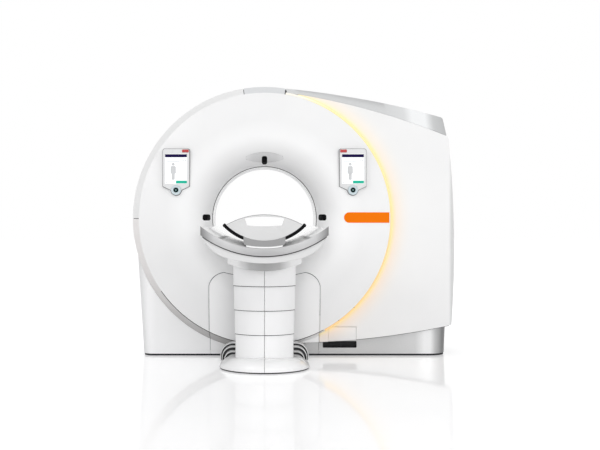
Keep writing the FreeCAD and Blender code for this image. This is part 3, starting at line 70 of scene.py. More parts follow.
@dataclass(frozen=True)
class Datum:
    """Sizes that several sub-assemblies share.

    Attributes:
        axis: Height of the bore's axis.
        wall: Wall of the moulded covers.
        seam: Gap between neighbouring covers.
        disc: Radius of the round front cover's rim.
        rim_y: Place of that rim along the bore.
        lip_y: Rear of the rim's return.
        ring_y: Foremost ring of the front cover.
        mouth: Radius where the bell mouth begins.
        bore: Clear radius of the tunnel.
        throat_y: End of the bell mouth.
        dome: Radius of the front cover's dome.
        collar: Outside radius of the ring covers.
        body_y: Front of the plinth and the leg.
        body_x: Inner end of their front walls.
        side_end: Rear end of the side walls.
        wing_y: Face of the wing cover.
        wing_ring: Radius of the wing's edge along the light ring.
        band_x: Where the top band leaves the ring covers.
        rear_y: Rear cover's plate.
        hatch: Half width of the lower front panel.
        skirt: Height of the black skirt under the covers, which also paints the shade of the gap there.
        lean: Angle below the middle where the leg leaves the ring covers, in degrees.
    """

    axis: float = 1.020
    wall: float = 0.006
    seam: float = 0.0039
    disc: float = 0.920
    rim_y: float = -0.425
    lip_y: float = -0.398
    ring_y: float = -0.480
    mouth: float = 0.600
    bore: float = 0.390
    throat_y: float = -0.247
    dome: float = 1.500
    collar: float = 0.980
    body_y: float = -0.282
    body_x: float = 0.405
    side_end: float = 0.4296
    wing_y: float = -0.332
    wing_ring: float = 0.945
    band_x: float = 0.161
    rear_y: float = 0.430
    hatch: float = 0.402
    skirt: float = 0.014
    lean: float = 13.5

    def height(self, x: float, radius: float) -> float:
        """Height above the bore's axis of a circle round it, at x."""
        return math.sqrt(radius ** 2 - x ** 2)


DATUM = Datum()


# ------------------------------------------------------------------ finishes


class Graph:
    """Shader nodes of one material, with a Principled shader at their end."""

    def __init__(self, name: str) -> None:
        """Make an empty material under a name."""
        self.material = bpy.data.materials.new(name)
        self.material.use_nodes = True
        self.tree = self.material.node_tree
        self.tree.nodes.clear()
        self.shader = self.add("BsdfPrincipled")
        self.add("OutputMaterial", {"Surface": self.shader.outputs["BSDF"]})
        self.place = self.add("TexCoord").outputs["Object"]

    def add(self, kind: str, inputs: dict[str | int, object] | None = None, **settings: object
            ) -> bpy.types.Node:
        """Add a node.

        Args:
            kind: Blender's name of the node's type, after ShaderNode.
            inputs: A socket or a plain value for each input.
            **settings: Properties of the node.

        Returns:
            The new node.
        """
        node = self.tree.nodes.new(f"ShaderNode{kind}")
        for name, value in settings.items():
            setattr(node, name, value)
        for name, value in (inputs or {}).items():
            self.feed(node.inputs[name], value)
        return node

    def feed(self, target: Socket, value: object) -> None:
        """Link a socket to an input, or set a plain value there."""
        if isinstance(value, Socket):
            self.tree.links.new(value, target)
        else:
            target.default_value = value

    def set(self, **values: object) -> None:
        """Feed the shader's own inputs, with _ for a space in their names."""
        for name, value in values.items():
            self.feed(self.shader.inputs[name.replace("_", " ")], value)

    def along(self, axis: str) -> Socket:
        """Return the place along X, Y or Z."""
        return self.add("SeparateXYZ", {0: self.place}).outputs[axis]

    def stretched(self, scale: Sequence[float], centre: Sequence[float] = (0, 0, 0)) -> Socket:
        """Return the place, stretched along the axes from a centre."""
        shift = [-middle * factor for middle, factor in zip(centre, scale)]
        return self.add("Mapping", {"Scale": scale, "Location": shift, "Vector": self.place}).outputs[0]

    def radius(self) -> Socket:
        """Return the distance to the bore's axis."""
        flat = self.stretched((1, 0, 1), (0, 0, DATUM.axis))
        return self.add("VectorMath", {0: flat}, operation="LENGTH").outputs["Value"]

    def noise(self, scale: float, detail: float = 3.0, place: Socket | None = None) -> Socket:
        """Soft noise between 0 and 1.

        Args:
            scale: Waves per metre.
            detail: Finer layers.
            place: Vector to read, or the object's own place.

        Returns:
            The noise's value.
        """
        return self.add("TexNoise", {"Scale": scale, "Detail": detail, "Vector": place or self.place}
                        ).outputs["Fac"]

    def waves(self, axis: str, scale: float) -> Socket:
        """Return straight waves across an axis."""
        inputs = {"Scale": scale, "Vector": self.place}
        return self.add("TexWave", inputs, bands_direction=axis).outputs["Fac"]

    def ramp(self, value: Socket, stops: Sequence[tuple[float, Colour]]) -> Socket:
        """Turn a value between 0 and 1 into a colour by its stops."""
        node = self.add("ValToRGB", {"Fac": value})
        elements = node.color_ramp.elements
        for index, (spot, colour) in enumerate(stops):
            element = elements[index] if index < 2 else elements.new(spot)
            element.position = spot
            element.color = (*colour, 1.0)
        return node.outputs["Color"]

    def spread(self, value: Socket, low: float, high: float, start: float = 0.3,
               end: float = 0.7) -> Socket:
        """Spread a value: start becomes low and end becomes high."""
        return self.add("MapRange", {"Value": value, "From Min": start, "From Max": end, "To Min": low,
                                     "To Max": high}).outputs["Result"]

    def math(self, operation: str, first: Socket, second: Socket | float) -> Socket:
        """Calculate with two values by Blender's name of the operation."""
        return self.add("Math", {0: first, 1: second}, operation=operation).outputs[0]

    def mix(self, share: Socket | float, first: Socket, second: Socket, blend: str = "MIX") -> Socket:
        """Mix two colours by a share."""
        inputs = {0: share, 6: first, 7: second}
        return self.add("Mix", inputs, data_type="RGBA", blend_type=blend).outputs[2]

    def tinted(self, value: Socket, colour: Colour, less: float, more: float | None = None,
               span: Spot = (0.3, 0.7)) -> Socket:
        """Vary a colour by a value.

        Args:
            value: Value between 0 and 1.
            colour: The middle colour.
            less: Share by which it is darker at the span's start.
            more: Share by which it is lighter at the span's end, or the same.
            span: Values between which it changes.

        Returns:
            The colour's socket.
        """
        dark = tuple(channel * (1 - less) for channel in colour)
        light = tuple(min(channel * (1 + (less if more is None else more)), 1.0) for channel in colour)
        return self.ramp(value, ((span[0], dark), (span[1], light)))

    def graded(self, colour: Socket, axis: str, bends: Bends) -> Socket:
        """Brighten or darken a colour by the place along an axis; most finishes use it for painted
        highlights and painted shade.

        Args:
            colour: The colour.
            axis: X, Y or Z, R for the distance to the middle plane, or D for the one to the bore's axis.
            bends: Place in metres and the share of the colour there, or nothing.

        Returns:
            The graded colour's socket.
        """
        if not bends:
            return colour
        spot = self.radius() if axis == "D" else self.along("X" if axis == "R" else axis)
        if axis == "R":
            spot = self.math("ABSOLUTE", spot, 0.0)
        low, high = bends[0][0], bends[-1][0]
        peak = max(part for _, part in bends)
        grade = self.ramp(self.spread(spot, 0.0, 1.0, low, high), [
            ((place - low) / (high - low), (part / peak,) * 3) for place, part in bends])
        return self.mix(1.0, colour, grade, "MULTIPLY")

    def bump(self, height: Socket, depth: float, strength: float) -> None:
        """Raise the shader's surface by a height between 0 and 1; 1 stands for a depth in metres."""
        node = self.add("Bump", {"Strength": strength, "Distance": depth, "Height": height})
        self.set(Normal=node.outputs["Normal"])


@dataclass(frozen=True)
class Finish:
    """A surface finish.

    Attributes:
        name: The material's name.
        colour: Base colour.
        roughness: Middle roughness.
    """

    name: str
    colour: Colour
    roughness: float

    def dress(self, graph: Graph) -> None:
        """Build the finish's nodes; each kind of finish has its own."""
        raise NotImplementedError

    def gloss(self, graph: Graph, value: Socket, low: float, high: float, start: float = 0.3) -> Socket:
        """Vary the roughness between two shares of it."""
        return graph.spread(value, self.roughness * low, self.roughness * high, start)

    def material(self) -> bpy.types.Material:
        """Return the finish's material, made once."""
        name = f"{self.name}_finish"
        known = bpy.data.materials.get(name)
        if known:
            return known
        graph = Graph(name)
        self.dress(graph)
        return graph.material


@dataclass(frozen=True)
class Moulded(Finish):
    """Moulded plastic: a fine skin texture, faint mottling and a soft gloss.

    Attributes:
        axis: Axis along which the colour changes.
        bends: Place along that axis, in metres, and the share of the colour there; mostly painted shade
            and highlights.
        coat: Weight of the clear coat.
        grain: Grains per metre.
        polish: Roughness of the clear coat.
        ior: Refractive index.
    """

    axis: str = "X"
    bends: Bends = ()
    coat: float = 0.25
    grain: float = 900.0
    polish: float = 0.18
    ior: float = 1.47

    def base(self, graph: Graph) -> Socket:
        """Return the mottled colour, graded by its stops, which mostly paint shade and highlights."""
        return graph.graded(graph.tinted(graph.noise(3.0), self.colour, 0.012), self.axis, self.bends)

    def dress(self, graph: Graph) -> None:
        """Build mottled colour, uneven gloss and a grained surface."""
        gloss = self.gloss(graph, graph.noise(14.0, 5.0), 0.85, 1.15)
        graph.set(Base_Color=self.base(graph), Roughness=gloss,
                  Coat_Weight=self.coat, Coat_Roughness=self.polish, IOR=self.ior)
        graph.bump(graph.noise(self.grain, 2.0), 0.00004, 0.5)


@dataclass(frozen=True)
class GlowPainted(Moulded):
    """Moulded plastic with the light ring's glow painted into its colour along its inner edge.

    Attributes:
        glow: Colour of the painted glow.
        core: Its colour right beside the ring.
        amount: Share of the painted glow at the ring.
        reach: Radius round the bore's axis where it has faded.
    """

    glow: Colour = (1.0, 0.80, 0.64)
    core: Colour = (1.0, 0.82, 0.34)
    amount: float = 0.74
    reach: float = 1.10

    def base(self, graph: Graph) -> Socket:
        """Return the plastic's colour, with the ring's glow painted in near the ring."""
        share = graph.spread(graph.radius(), 1.0, 0.0, DATUM.wing_ring, self.reach)
        amount = graph.math("MULTIPLY", graph.math("POWER", share, 2.0), self.amount)
        painted_glow = graph.ramp(share, ((0.80, self.glow), (1.0, self.core)))
        return graph.mix(amount, super().base(graph), painted_glow)


@dataclass(frozen=True)
class Painted(Finish):
    """Metallic paint: fine flakes under a clear coat, with highlights and shade painted into its colour
    along one axis.

    Attributes:
        axis: Axis along which the painted highlights and shade run.
        metal: Metallic share.
        coat: Weight of the clear coat.
        bends: Place along that axis, in metres, and the share of the colour there, which paints the
            highlights and shade.
    """

    axis: str = "X"
    metal: float = 0.5
    coat: float = 0.3
    bends: Bends = ()

    def dress(self, graph: Graph) -> None:
        """Build flaked colour with painted highlights and shade, uneven gloss and a faint flake relief."""
        flakes = graph.noise(2600.0, 1.0)
        colour = graph.tinted(flakes, self.colour, 0.06, 0.05, (0.35, 0.65))
        graph.set(Base_Color=graph.graded(colour, self.axis, self.bends), Metallic=self.metal,
                  Roughness=self.gloss(graph, graph.noise(9.0, 4.0), 0.9, 1.1),
                  Coat_Weight=self.coat, Coat_Roughness=0.12)
        graph.bump(flakes, 0.00002, 0.4)


@dataclass(frozen=True)
class Machined(Finish):
    """Turned or milled steel with fine tool marks.

    Attributes:
        along: Stretch of the marks along each axis.
    """

    along: tuple[float, float, float] = (1.0, 40.0, 1.0)

    def dress(self, graph: Graph) -> None:
        """Build stretched marks in the gloss and the relief."""
        marks = graph.noise(60.0, 6.0, graph.stretched(self.along))
        graph.set(Base_Color=graph.tinted(graph.noise(12.0), self.colour, 0.08), Metallic=1.0,
                  Roughness=self.gloss(graph, marks, 0.7, 1.4))
        graph.bump(marks, 0.00006, 0.5)


@dataclass(frozen=True)
class Carbon(Finish):
    """Woven carbon fibre under clear resin.

    Attributes:
        pitch: Width of one tow.
    """

    pitch: float = 0.004

    def dress(self, graph: Graph) -> None:
        """Build crossed tows that shine by turns."""
        scale = 1 / (self.pitch * 3.1416)
        weave = graph.math("MULTIPLY", graph.waves("X", scale), graph.waves("Y", scale))
        graph.set(Base_Color=graph.tinted(weave, self.colour, 0.4, 0.0, (0.1, 0.9)),
                  Roughness=graph.spread(weave, 0.28, 0.5, 0.0, 1.0),
                  Coat_Weight=1.0, Coat_Roughness=0.03, Coat_IOR=1.25, IOR=1.2)
        graph.bump(weave, 0.0001, 0.4)


@dataclass(frozen=True)
class Glass(Finish):
    """Dark tinted window or lit screen glass.

    Attributes:
        light: Strength of the light behind it.
        coat: Weight of the polished surface.
        ior: Refractive index.
    """

    light: float = 0.0
    coat: float = 1.0
    ior: float = 1.5

    def dress(self, graph: Graph) -> None:
        """Build a very smooth surface with faint smears, and the light behind it."""
        smears = graph.noise(30.0, 4.0, graph.stretched((1, 1, 0.3)))
        graph.set(Base_Color=graph.tinted(graph.noise(25.0), self.colour, 0.03), IOR=self.ior,
                  Roughness=self.gloss(graph, smears, 0.7, 1.6, 0.35), Coat_Weight=self.coat,
                  Coat_Roughness=0.02, Emission_Color=(*self.colour, 1.0), Emission_Strength=self.light)


@dataclass(frozen=True)
class Rubber(Finish):
    """Matt rubber with a dusty bloom."""

    def dress(self, graph: Graph) -> None:
        """Build a dusty colour and a pitted surface."""
        low, high = self.roughness - 0.1, self.roughness + 0.1
        graph.set(Base_Color=graph.tinted(graph.noise(40.0), self.colour, 0.25),
                  Roughness=graph.spread(graph.noise(120.0, 4.0), low, high, 0.0, 1.0))
        graph.bump(graph.noise(700.0, 4.0), 0.0002, 0.6)


@dataclass(frozen=True)
class Diffuser(Finish):
    """Lit strip, orange at the bottom and lemon yellow at the top; its colour is the unlit body's.

    Attributes:
        stops: Share of the strip's height and the light's colour there.
        strength: Strength of the light.
        span: Heights between which the light changes.
    """

    stops: tuple[tuple[float, Colour], ...] = (
        (0.0, (0.98, 0.60, 0.26)), (0.35, (0.96, 0.72, 0.34)), (0.62, (0.98, 0.83, 0.40)),
        (0.93, (1.0, 0.90, 0.46)), (0.972, (1.0, 0.92, 0.60)), (0.99, (0.97, 0.95, 0.88)))
    strength: float = 0.92
    span: Spot = (0.15, 1.96)

    def dress(self, graph: Graph) -> None:
        """Build the light's colour by height and a frosted surface."""
        share = graph.spread(graph.along("Z"), 0.0, 1.0, *self.span)
        frost = graph.math("MULTIPLY", graph.noise(300.0), 0.04)
        graph.set(Base_Color=(*self.colour, 1.0), Roughness=self.roughness, IOR=1.2,
                  Emission_Color=graph.ramp(graph.math("ADD", share, frost), self.stops),
                  Emission_Strength=self.strength)


@dataclass(frozen=True)
class Winding(Finish):
    """Lacquered copper windings."""

    def dress(self, graph: Graph) -> None:
        """Build fine wires side by side."""
        graph.set(Base_Color=graph.tinted(graph.noise(60.0), self.colour, 0.12), Metallic=0.7,
                  Roughness=self.roughness)
        graph.bump(graph.waves("Y", 160.0), 0.0006, 0.8)


@dataclass(frozen=True)
class Floor(Finish):
    """Polished pale floor that mirrors what stands on it."""

    def dress(self, graph: Graph) -> None:
        """Build a bright, faintly uneven gloss."""
        seen = graph.add("LightPath").outputs["Is Camera Ray"]
        rough = graph.spread(graph.noise(5.0), self.roughness * 0.9, self.roughness * 1.1, 0.0, 1.0)
        graph.set(Base_Color=graph.tinted(graph.noise(1.5), self.colour, 0.004), Roughness=rough, IOR=1.2,
                  Emission_Color=(1.0, 1.0, 1.0, 1.0),
                  Emission_Strength=graph.math("MULTIPLY", seen, 0.25))


# Painted light: the bell mouth is painted lighter than the face round it, to offset the shade inside the
# mouth.
WHITE_COVER = Moulded("cover_white", (0.955, 0.955, 0.957), 0.36, "D", (
    (0.39, 1.0), (0.56, 1.0), (0.72, 0.925), (0.95, 0.925)))
# Painted light: the light ring's glow is painted in along the wing's inner edge, and painted shade darkens
# its right edge.
WING_WHITE_PAINTED_GLOW_AND_SHADE = GlowPainted("wing_white_painted_glow_and_shade", (0.87, 0.87, 0.872), 0.36, bends=(
    (0.2, 1.0), (1.366, 1.0), (1.374, 0.86), (1.383, 0.74)))
WINDOW_FILM = Moulded("window_film", (0.95, 0.95, 0.952), 0.2, coat=0.6)
# Painted light: a lighter copy of the cover white, to offset the shade on the lower front panel behind the
# column.
HATCH_WHITE_PAINTED_LIGHT = Moulded("hatch_white_painted_light", (0.95, 0.95, 0.952), 0.36)
# Painted light: a highlight down the leg's rounded corner, with painted shade towards its outer edge.
LEG_WHITE_PAINTED_LIGHT = Moulded("leg_white_painted_light", (0.955, 0.957, 0.962), 0.34, bends=(
    (-0.98, 0.88), (-0.90, 0.93), (-0.868, 1.0), (-0.845, 1.0), (-0.80, 0.965), (0.45, 0.96)))
TUNNEL_WHITE = Moulded("tunnel_white", (0.94, 0.945, 0.95), 0.3)
COLUMN_WHITE = Moulded("column_white", (0.945, 0.945, 0.95), 0.34, coat=0.4)
FOOT_WHITE = Moulded("foot_white", (0.945, 0.945, 0.948), 0.25, coat=0.6)
SADDLE_WHITE = Moulded("saddle_white", (0.94, 0.94, 0.942), 0.3, coat=1.0, polish=0.03)
HULL_GREY = Moulded("hull_grey", (0.665, 0.665, 0.667), 0.4)
# Painted shade: white at the sides, darker in the middle under the hull, where its shadow falls.
NECK_WHITE_PAINTED_SHADE = Moulded("neck_grey", (0.95, 0.95, 0.952), 0.5, "R", (
    (0.0, 0.47), (0.10, 0.56), (0.18, 1.0)), coat=0.0)
CAP_GREY = Moulded("cap_grey", (0.62, 0.62, 0.621), 0.42)
# Dark grey for the end cap's rim; it also paints the shadow lines under the wing and round the panel
# housings.
DARK_RIM_AND_SHADOW_LINE = Moulded("dark_rim_and_shadow_line", (0.17, 0.17, 0.175), 0.5, coat=0.0)
CARRIAGE_GREY = Moulded("carriage_grey", (0.29, 0.29, 0.292), 0.45, coat=0.1)
PANEL_GREY = Moulded("panel_grey", (0.76, 0.765, 0.77), 0.3, coat=0.3)
LENS_GREY = Moulded("lens_grey", (0.90, 0.90, 0.905), 0.3, "R", ((0.0, 0.84), (0.08, 0.88), (0.137, 1.0)))
STOP_RED = Moulded("stop_red", (0.50, 0.035, 0.035), 0.3, coat=0.6, grain=1500)
DIAL_PALE = Moulded("dial_pale", (0.60, 0.70, 0.74), 0.28, coat=0.6, grain=1500)
DIAL_DARK = Moulded("dial_dark", (0.002, 0.016, 0.016), 0.4, coat=0.0, grain=1500, ior=1.2)
DOT_TEAL = Moulded("dot_teal", (0.26, 0.42, 0.42), 0.4, coat=0.0, grain=1500)
BADGE_ORANGE = Moulded("badge_orange", (0.90, 0.185, 0.003), 0.5, coat=0.0, grain=1500, ior=1.15)
BRUSH_GREY = Moulded("brush_grey", (0.05, 0.05, 0.055), 0.5, coat=0.0)
COLLAR_PALE = Moulded("collar_pale", (0.945, 0.945, 0.945), 0.34)
RECESS_BLACK = Glass("recess_black", (0.010, 0.010, 0.012), 0.2, coat=0.1, ior=1.3)
WINDOW_BLACK = Glass("window_black", (0.004, 0.004, 0.005), 0.3, coat=0.0, ior=1.15)
SCREEN_WHITE = Glass("screen_white", (0.93, 0.95, 0.96), 0.1, light=0.25)
SCREEN_NAVY = Glass("screen_navy", (0.010, 0.005, 0.048), 0.2, light=0.2, coat=0.0, ior=1.15)
SCREEN_GREEN = Glass("screen_green", (0.02, 0.42, 0.29), 0.2, light=0.2, coat=0.0, ior=1.2)
SCREEN_GREY = Glass("screen_grey", (0.52, 0.53, 0.54), 0.1, light=0.2)
# Painted light: a highlight on the top band at x 1.10 to 1.20, and painted shade round its shoulder
# beyond.
TOP_BAND_SILVER_PAINTED_LIGHT = Painted("top_band_silver_painted_light", (0.96, 0.985, 1.0), 0.34, metal=0.35, coat=0.15, bends=(
    (0.16, 0.72), (0.60, 0.70), (0.90, 0.72), (1.04, 0.78), (1.10, 0.98), (1.20, 0.98), (1.26, 0.62),
    (1.36, 0.52)))
CAP_SILVER = Painted("cap_silver", (0.74, 0.755, 0.77), 0.34)
# Painted shade: the lower ring covers darken towards the bottom, where they face down.
COLLAR_PAINTED_SHADE = Painted("collar_painted_shade", (0.945, 0.915, 0.905), 0.36, "Z", 0.1, bends=(
    (0.04, 0.52), (0.12, 0.54), (0.30, 0.60), (0.45, 0.74), (0.62, 0.92), (0.80, 1.0), (1.02, 1.0)))
# Painted light: a highlight where the plinth's corner begins to turn, and painted shade round the corner
# beyond.
PLINTH_SILVER_PAINTED_LIGHT = Painted("plinth_silver_painted_light", (0.96, 0.97, 0.98), 0.34, bends=(
    (0.40, 0.62), (0.90, 0.66), (1.12, 0.74), (1.19, 1.0), (1.235, 1.0), (1.27, 0.62), (1.30, 0.44),
    (1.325, 0.24), (1.36, 0.12)))
# Painted light: the cradle band darkens to its tips as painted shade round its corners, with a painted
# highlight near x = 0.2.
BAND_SILVER_PAINTED_LIGHT = Painted("band_silver_painted_light", (0.62, 0.62, 0.625), 0.3, "R", metal=0.6, bends=(
    (0.0, 0.80), (0.10, 0.84), (0.20, 1.0), (0.26, 0.92), (0.328, 0.34)))
FRAME_PAINT = Painted("frame_paint", (0.12, 0.13, 0.15), 0.5, metal=0.0, coat=0.1)
UNIT_PAINT = Painted("unit_paint", (0.32, 0.34, 0.37), 0.45, metal=0.1)
TUBE_CAST = Machined("tube_cast", (0.62, 0.63, 0.65), 0.4, (6.0, 6.0, 6.0))
BARE_STEEL = Machined("bare_steel", (0.55, 0.56, 0.58), 0.28)
COPPER = Winding("copper_winding", (0.48, 0.20, 0.09), 0.35)
BLACK_RUBBER = Rubber("black_rubber", (0.018, 0.018, 0.02), 0.7)
CARBON = Carbon("carbon_weave", (0.012, 0.012, 0.013), 0.35)
LIGHT_STRIP = Diffuser("light_strip", (0.10, 0.085, 0.05), 0.5)
PALE_FLOOR = Floor("pale_floor", (0.93, 0.93, 0.935), 0.07)


# ------------------------------------------------------------------ mesh tools


class Plane(Enum):
    """The plane that an outline is drawn in."""

    FRONT = "x and z"
    PLAN = "x and y"
    RING = "y and the distance above the bore's axis"

    def point(self, u: float, v: float, level: float) -> Vector:
        """Return the point at (u, v), at a level along the third axis."""
        if self is Plane.FRONT:
            return Vector((u, level, v))
        if self is Plane.PLAN:
            return Vector((u, v, level))
        return Vector((level, u, DATUM.axis + v))

    @property
    def normal(self) -> Vector:
        """Axis about which u turns towards v."""
        return Vector({Plane.FRONT: (0, -1, 0), Plane.PLAN: (0, 0, 1), Plane.RING: (1, 0, 0)}[self])


def rise(half: float, low: float, radius: float) -> float:
    """Return the height of an arc's end, half its width away from its lowest point."""
    return low + radius - math.sqrt(radius ** 2 - half ** 2)


def crescent(start: float, end: float, first: Spot, second: Spot, steps: int) -> Path:
    """Return the outline between two arcs that are lowest at x = 0.

    Args:
        start: x where the first arc starts.
        end: x where it ends.
        first: Lowest height and radius of the first arc.
        second: The same of the arc that leads back.
        steps: Edges of each arc.

    Returns:
        The outline's path.
    """
    way = math.copysign(1.0, end - start)
    return [(start, rise(start, *first)), (end, rise(end, *first), way * first[1], steps),
            (end, rise(end, *second)), (start, rise(start, *second), -way * second[1], steps)]


class Piece:
    """One new piece of the scanner, from its first vertex to its place on a body."""

    def __init__(self, name: str) -> None:
        """Start an empty mesh under the piece's name."""
        self.name = name
        self.mesh = bmesh.new()

    def arc(self, plane: Plane, level: float, last: bmesh.types.BMVert, span: tuple[Vector, Vector],
            radius: float, steps: int) -> bmesh.types.BMVert:
        """Draw a minor arc.

        Args:
            plane: Plane of the arc.
            level: Place of the plane along its third axis.
            last: Vertex at its start.
            span: Its start and end in the plane.
            radius: Its radius, above 0 where it turns to the left.
            steps: Number of edges.

        Returns:
            The vertex at its end.
        """
        chord = span[1] - span[0]
        half, side = chord.length / 2, math.copysign(1.0, radius)
        left = Vector((-chord.y, chord.x)).normalized()
        centre = (span[0] + span[1]) / 2 + left * side * math.sqrt(max(radius ** 2 - half ** 2, 0.0))
        made = bmesh.ops.spin(self.mesh, geom=[last], cent=plane.point(*centre, level), axis=plane.normal,
                              angle=2 * math.asin(min(half / abs(radius), 1.0)) * side, steps=steps)
        return next(item for item in made["geom_last"] if isinstance(item, bmesh.types.BMVert))

    def draw(self, plane: Plane, level: float, path: Path,
             closed: bool = True) -> list[bmesh.types.BMEdge]:
        """Draw a line out of straight runs and minor arcs.

        Args:
            plane: Plane of the line.
            level: Place of the plane along its third axis.
            path: Ends of the runs (u, v) and of the arcs (u, v, radius, steps).
            closed: Whether the end is joined to the start.

        Returns:
            The line's edges.
        """
        before = set(self.mesh.edges)
        first = last = self.mesh.verts.new(plane.point(*path[0], level))
        spot = Vector(path[0])
        for u, v, *bend in path[1:]:
            end = Vector((u, v))
            if bend:
                last = self.arc(plane, level, last, (spot, end), *bend)
            else:
                vert = self.mesh.verts.new(plane.point(u, v, level))
                self.mesh.edges.new((last, vert))
                last = vert
            spot = end
        if closed and (last.co - first.co).length < SAME:
            bmesh.ops.pointmerge(self.mesh, verts=[last, first], merge_co=first.co)
        elif closed:
            self.mesh.edges.new((last, first))
        return [edge for edge in self.mesh.edges if edge not in before]

    def face(self, plane: Plane, level: float, path: Path) -> bmesh.types.BMFace:
        """Fill a closed outline with one face."""
        return bmesh.ops.contextual_create(self.mesh, geom=self.draw(plane, level, path))["faces"][0]

    def push(self, face: bmesh.types.BMFace, offset: Sequence[float]) -> list[bmesh.types.BMVert]:
        """Extrude a face by an offset into a solid and return the copy's vertices."""
        made = bmesh.ops.extrude_face_region(self.mesh, geom=[face])
        verts = [item for item in made["geom"] if isinstance(item, bmesh.types.BMVert)]
        bmesh.ops.translate(self.mesh, verts=verts, vec=Vector(offset))
        return verts

    def solid(self, plane: Plane, level: float, path: Path, length: float, rim: float = 0.0,
              segments: int = 4) -> "Piece":
        """Add a solid between an outline and its copy along the plane's third axis.

        Args:
            plane: Plane of the outline.
            level: Place of the plane.
            path: The outline.
            length: Distance to the copy, to the rear or up.
            rim: Width of the rounding round the first end.
            segments: Faces across that rounding.

        Returns:
            This piece.
        """
        face = self.face(plane, level, path)
        edges = list(face.edges)
        self.push(face, [abs(part) * length for part in plane.normal])
        if rim:
            self.bevel([edge for edge in edges if edge.is_valid], rim, segments)
        return self

    def slab(self, level: float, low: Spot, high: Spot, radius: float, length: float, rim: float = 0.0
             ) -> "Piece":
        """Add a slab with round corners, seen from the front as a rectangle.

        Args:
            level: Place of its front.
            low: Lowest corner.
            high: Highest corner.
            radius: Radius of the corners.
            length: Its thickness along the bore.
            rim: Width of the rounding round its front.

        Returns:
            This piece.
        """
        (u0, v0), (u1, v1), bend = low, high, (radius, 5)
        return self.solid(Plane.FRONT, level, [
            (u0 + radius, v0), (u1 - radius, v0), (u1, v0 + radius, *bend), (u1, v1 - radius),
            (u1 - radius, v1, *bend), (u0 + radius, v1), (u0, v1 - radius, *bend), (u0, v0 + radius),
            (u0 + radius, v0, *bend)], length, rim, 3)

    def rod(self, middle: Sequence[float], radius: float, length: float, segments: int,
            rear: float | None = None) -> "Piece":
        """Add a round rod along the bore.

        Args:
            middle: Its middle.
            radius: Its radius, at the front if it is tapered.
            length: Its length.
            segments: Faces round it.
            rear: Radius at its rear, or the same.

        Returns:
            This piece.
        """
        made = bmesh.ops.create_cone(self.mesh, cap_ends=True, radius1=radius, depth=length,
                                     radius2=radius if rear is None else rear, segments=segments)
        verts, matrix = made["verts"], Matrix.Rotation(-UPRIGHT, 3, "X")
        bmesh.ops.rotate(self.mesh, verts=verts, cent=(0, 0, 0), matrix=matrix)
        bmesh.ops.translate(self.mesh, verts=verts, vec=middle)
        return self

    def turn(self, path: Path, start: float = 0.0, sweep: float = 360.0, steps: int = 192,
             closed: bool = True) -> "Piece":
        """Turn a profile about the bore's axis.

        Args:
            path: The profile, in the ring plane.
            start: First angle, clockwise from the top seen from the table, in degrees.
            sweep: Angle of the turn, in degrees.
            steps: Number of sections.
            closed: Whether the profile is closed; an open one ends on the axis.

        Returns:
            This piece.
        """
        loop = self.draw(Plane.RING, 0.0, path, closed)
        centre, axis = Vector((0, 0, DATUM.axis)), Vector((0, 1, 0))
        verts = list({vert for edge in loop for vert in edge.verts})
        whole = sweep > 359.9
        geom: list[object] = [*loop, *verts]
        if not whole:
            bmesh.ops.rotate(self.mesh, verts=verts, cent=centre,
                             matrix=Matrix.Rotation(math.radians(start), 3, axis))
            geom = [*bmesh.ops.contextual_create(self.mesh, geom=loop)["faces"], *geom]
        bmesh.ops.spin(self.mesh, geom=geom, cent=centre, axis=axis, angle=math.radians(sweep),
                       steps=steps,
                       use_merge=whole)
        return self

    def bevel(self, edges: Sequence[bmesh.types.BMEdge], width: float, segments: int) -> None:
        """Round edges by a width, with a number of faces across the rounding."""
        bmesh.ops.bevel(self.mesh, geom=edges, offset=width, segments=segments, profile=0.5,
                        affect="EDGES", clamp_overlap=True, material=-1)

    def soften(self, width: float, segments: int, angle: float) -> "Piece":
        """Round every edge whose faces meet at more than an angle in degrees."""
        bmesh.ops.recalc_face_normals(self.mesh, faces=self.mesh.faces)
        limit = math.radians(angle)
        self.bevel([edge for edge in self.mesh.edges
                    if len(edge.link_faces) == 2 and edge.calc_face_angle(0.0) > limit], width, segments)
        return self

    def mirror(self) -> "Piece":
        """Add the piece's mirror image across x = 0."""
        mesh = self.mesh
        made = bmesh.ops.duplicate(mesh, geom=[*mesh.verts, *mesh.edges, *mesh.faces])
        verts = [item for item in made["geom"] if isinstance(item, bmesh.types.BMVert)]
        bmesh.ops.scale(self.mesh, verts=verts, vec=(-1, 1, 1))
        return self

    def shape(self, name: str) -> bpy.types.Object:
        """Return the mesh as an object, with doubles merged and every face turned outwards."""
        bmesh.ops.remove_doubles(self.mesh, verts=self.mesh.verts, dist=SAME)
        bmesh.ops.recalc_face_normals(self.mesh, faces=self.mesh.faces)
        data = bpy.data.meshes.new(name)
        self.mesh.to_mesh(data)
        made = bpy.data.objects.new(name, data)
        bpy.context.scene.collection.objects.link(made)
        return made

    def join(self, part: "Piece") -> None:
        """Take in the mesh of another piece, which is used up."""
        made = part.shape(part.name)
        self.mesh.from_mesh(made.data)
        bpy.data.objects.remove(made)
        part.mesh.free()

    def carve(self, tool: "Piece", operation: str = "DIFFERENCE") -> "Piece":
        """Cut the piece with another one.

        Args:
            tool: The piece that cuts and is used up.
            operation: DIFFERENCE, INTERSECT or UNION.

        Returns:
            This piece.
        """
        body, cutter = self.shape("blank"), tool.shape("cutter")
        modifier = body.modifiers.new("cut", "BOOLEAN")
        modifier.object = cutter
        modifier.operation = operation
        modifier.solver = "EXACT"
        made = bpy.data.meshes.new_from_object(body.evaluated_get(bpy.context.evaluated_depsgraph_get()))
        self.mesh.clear()
        self.mesh.from_mesh(made)
        tool.mesh.free()
        for item in (body, cutter):
            data = item.data
            bpy.data.objects.remove(item)
            bpy.data.meshes.remove(data)
        bpy.data.meshes.remove(made)
        return self

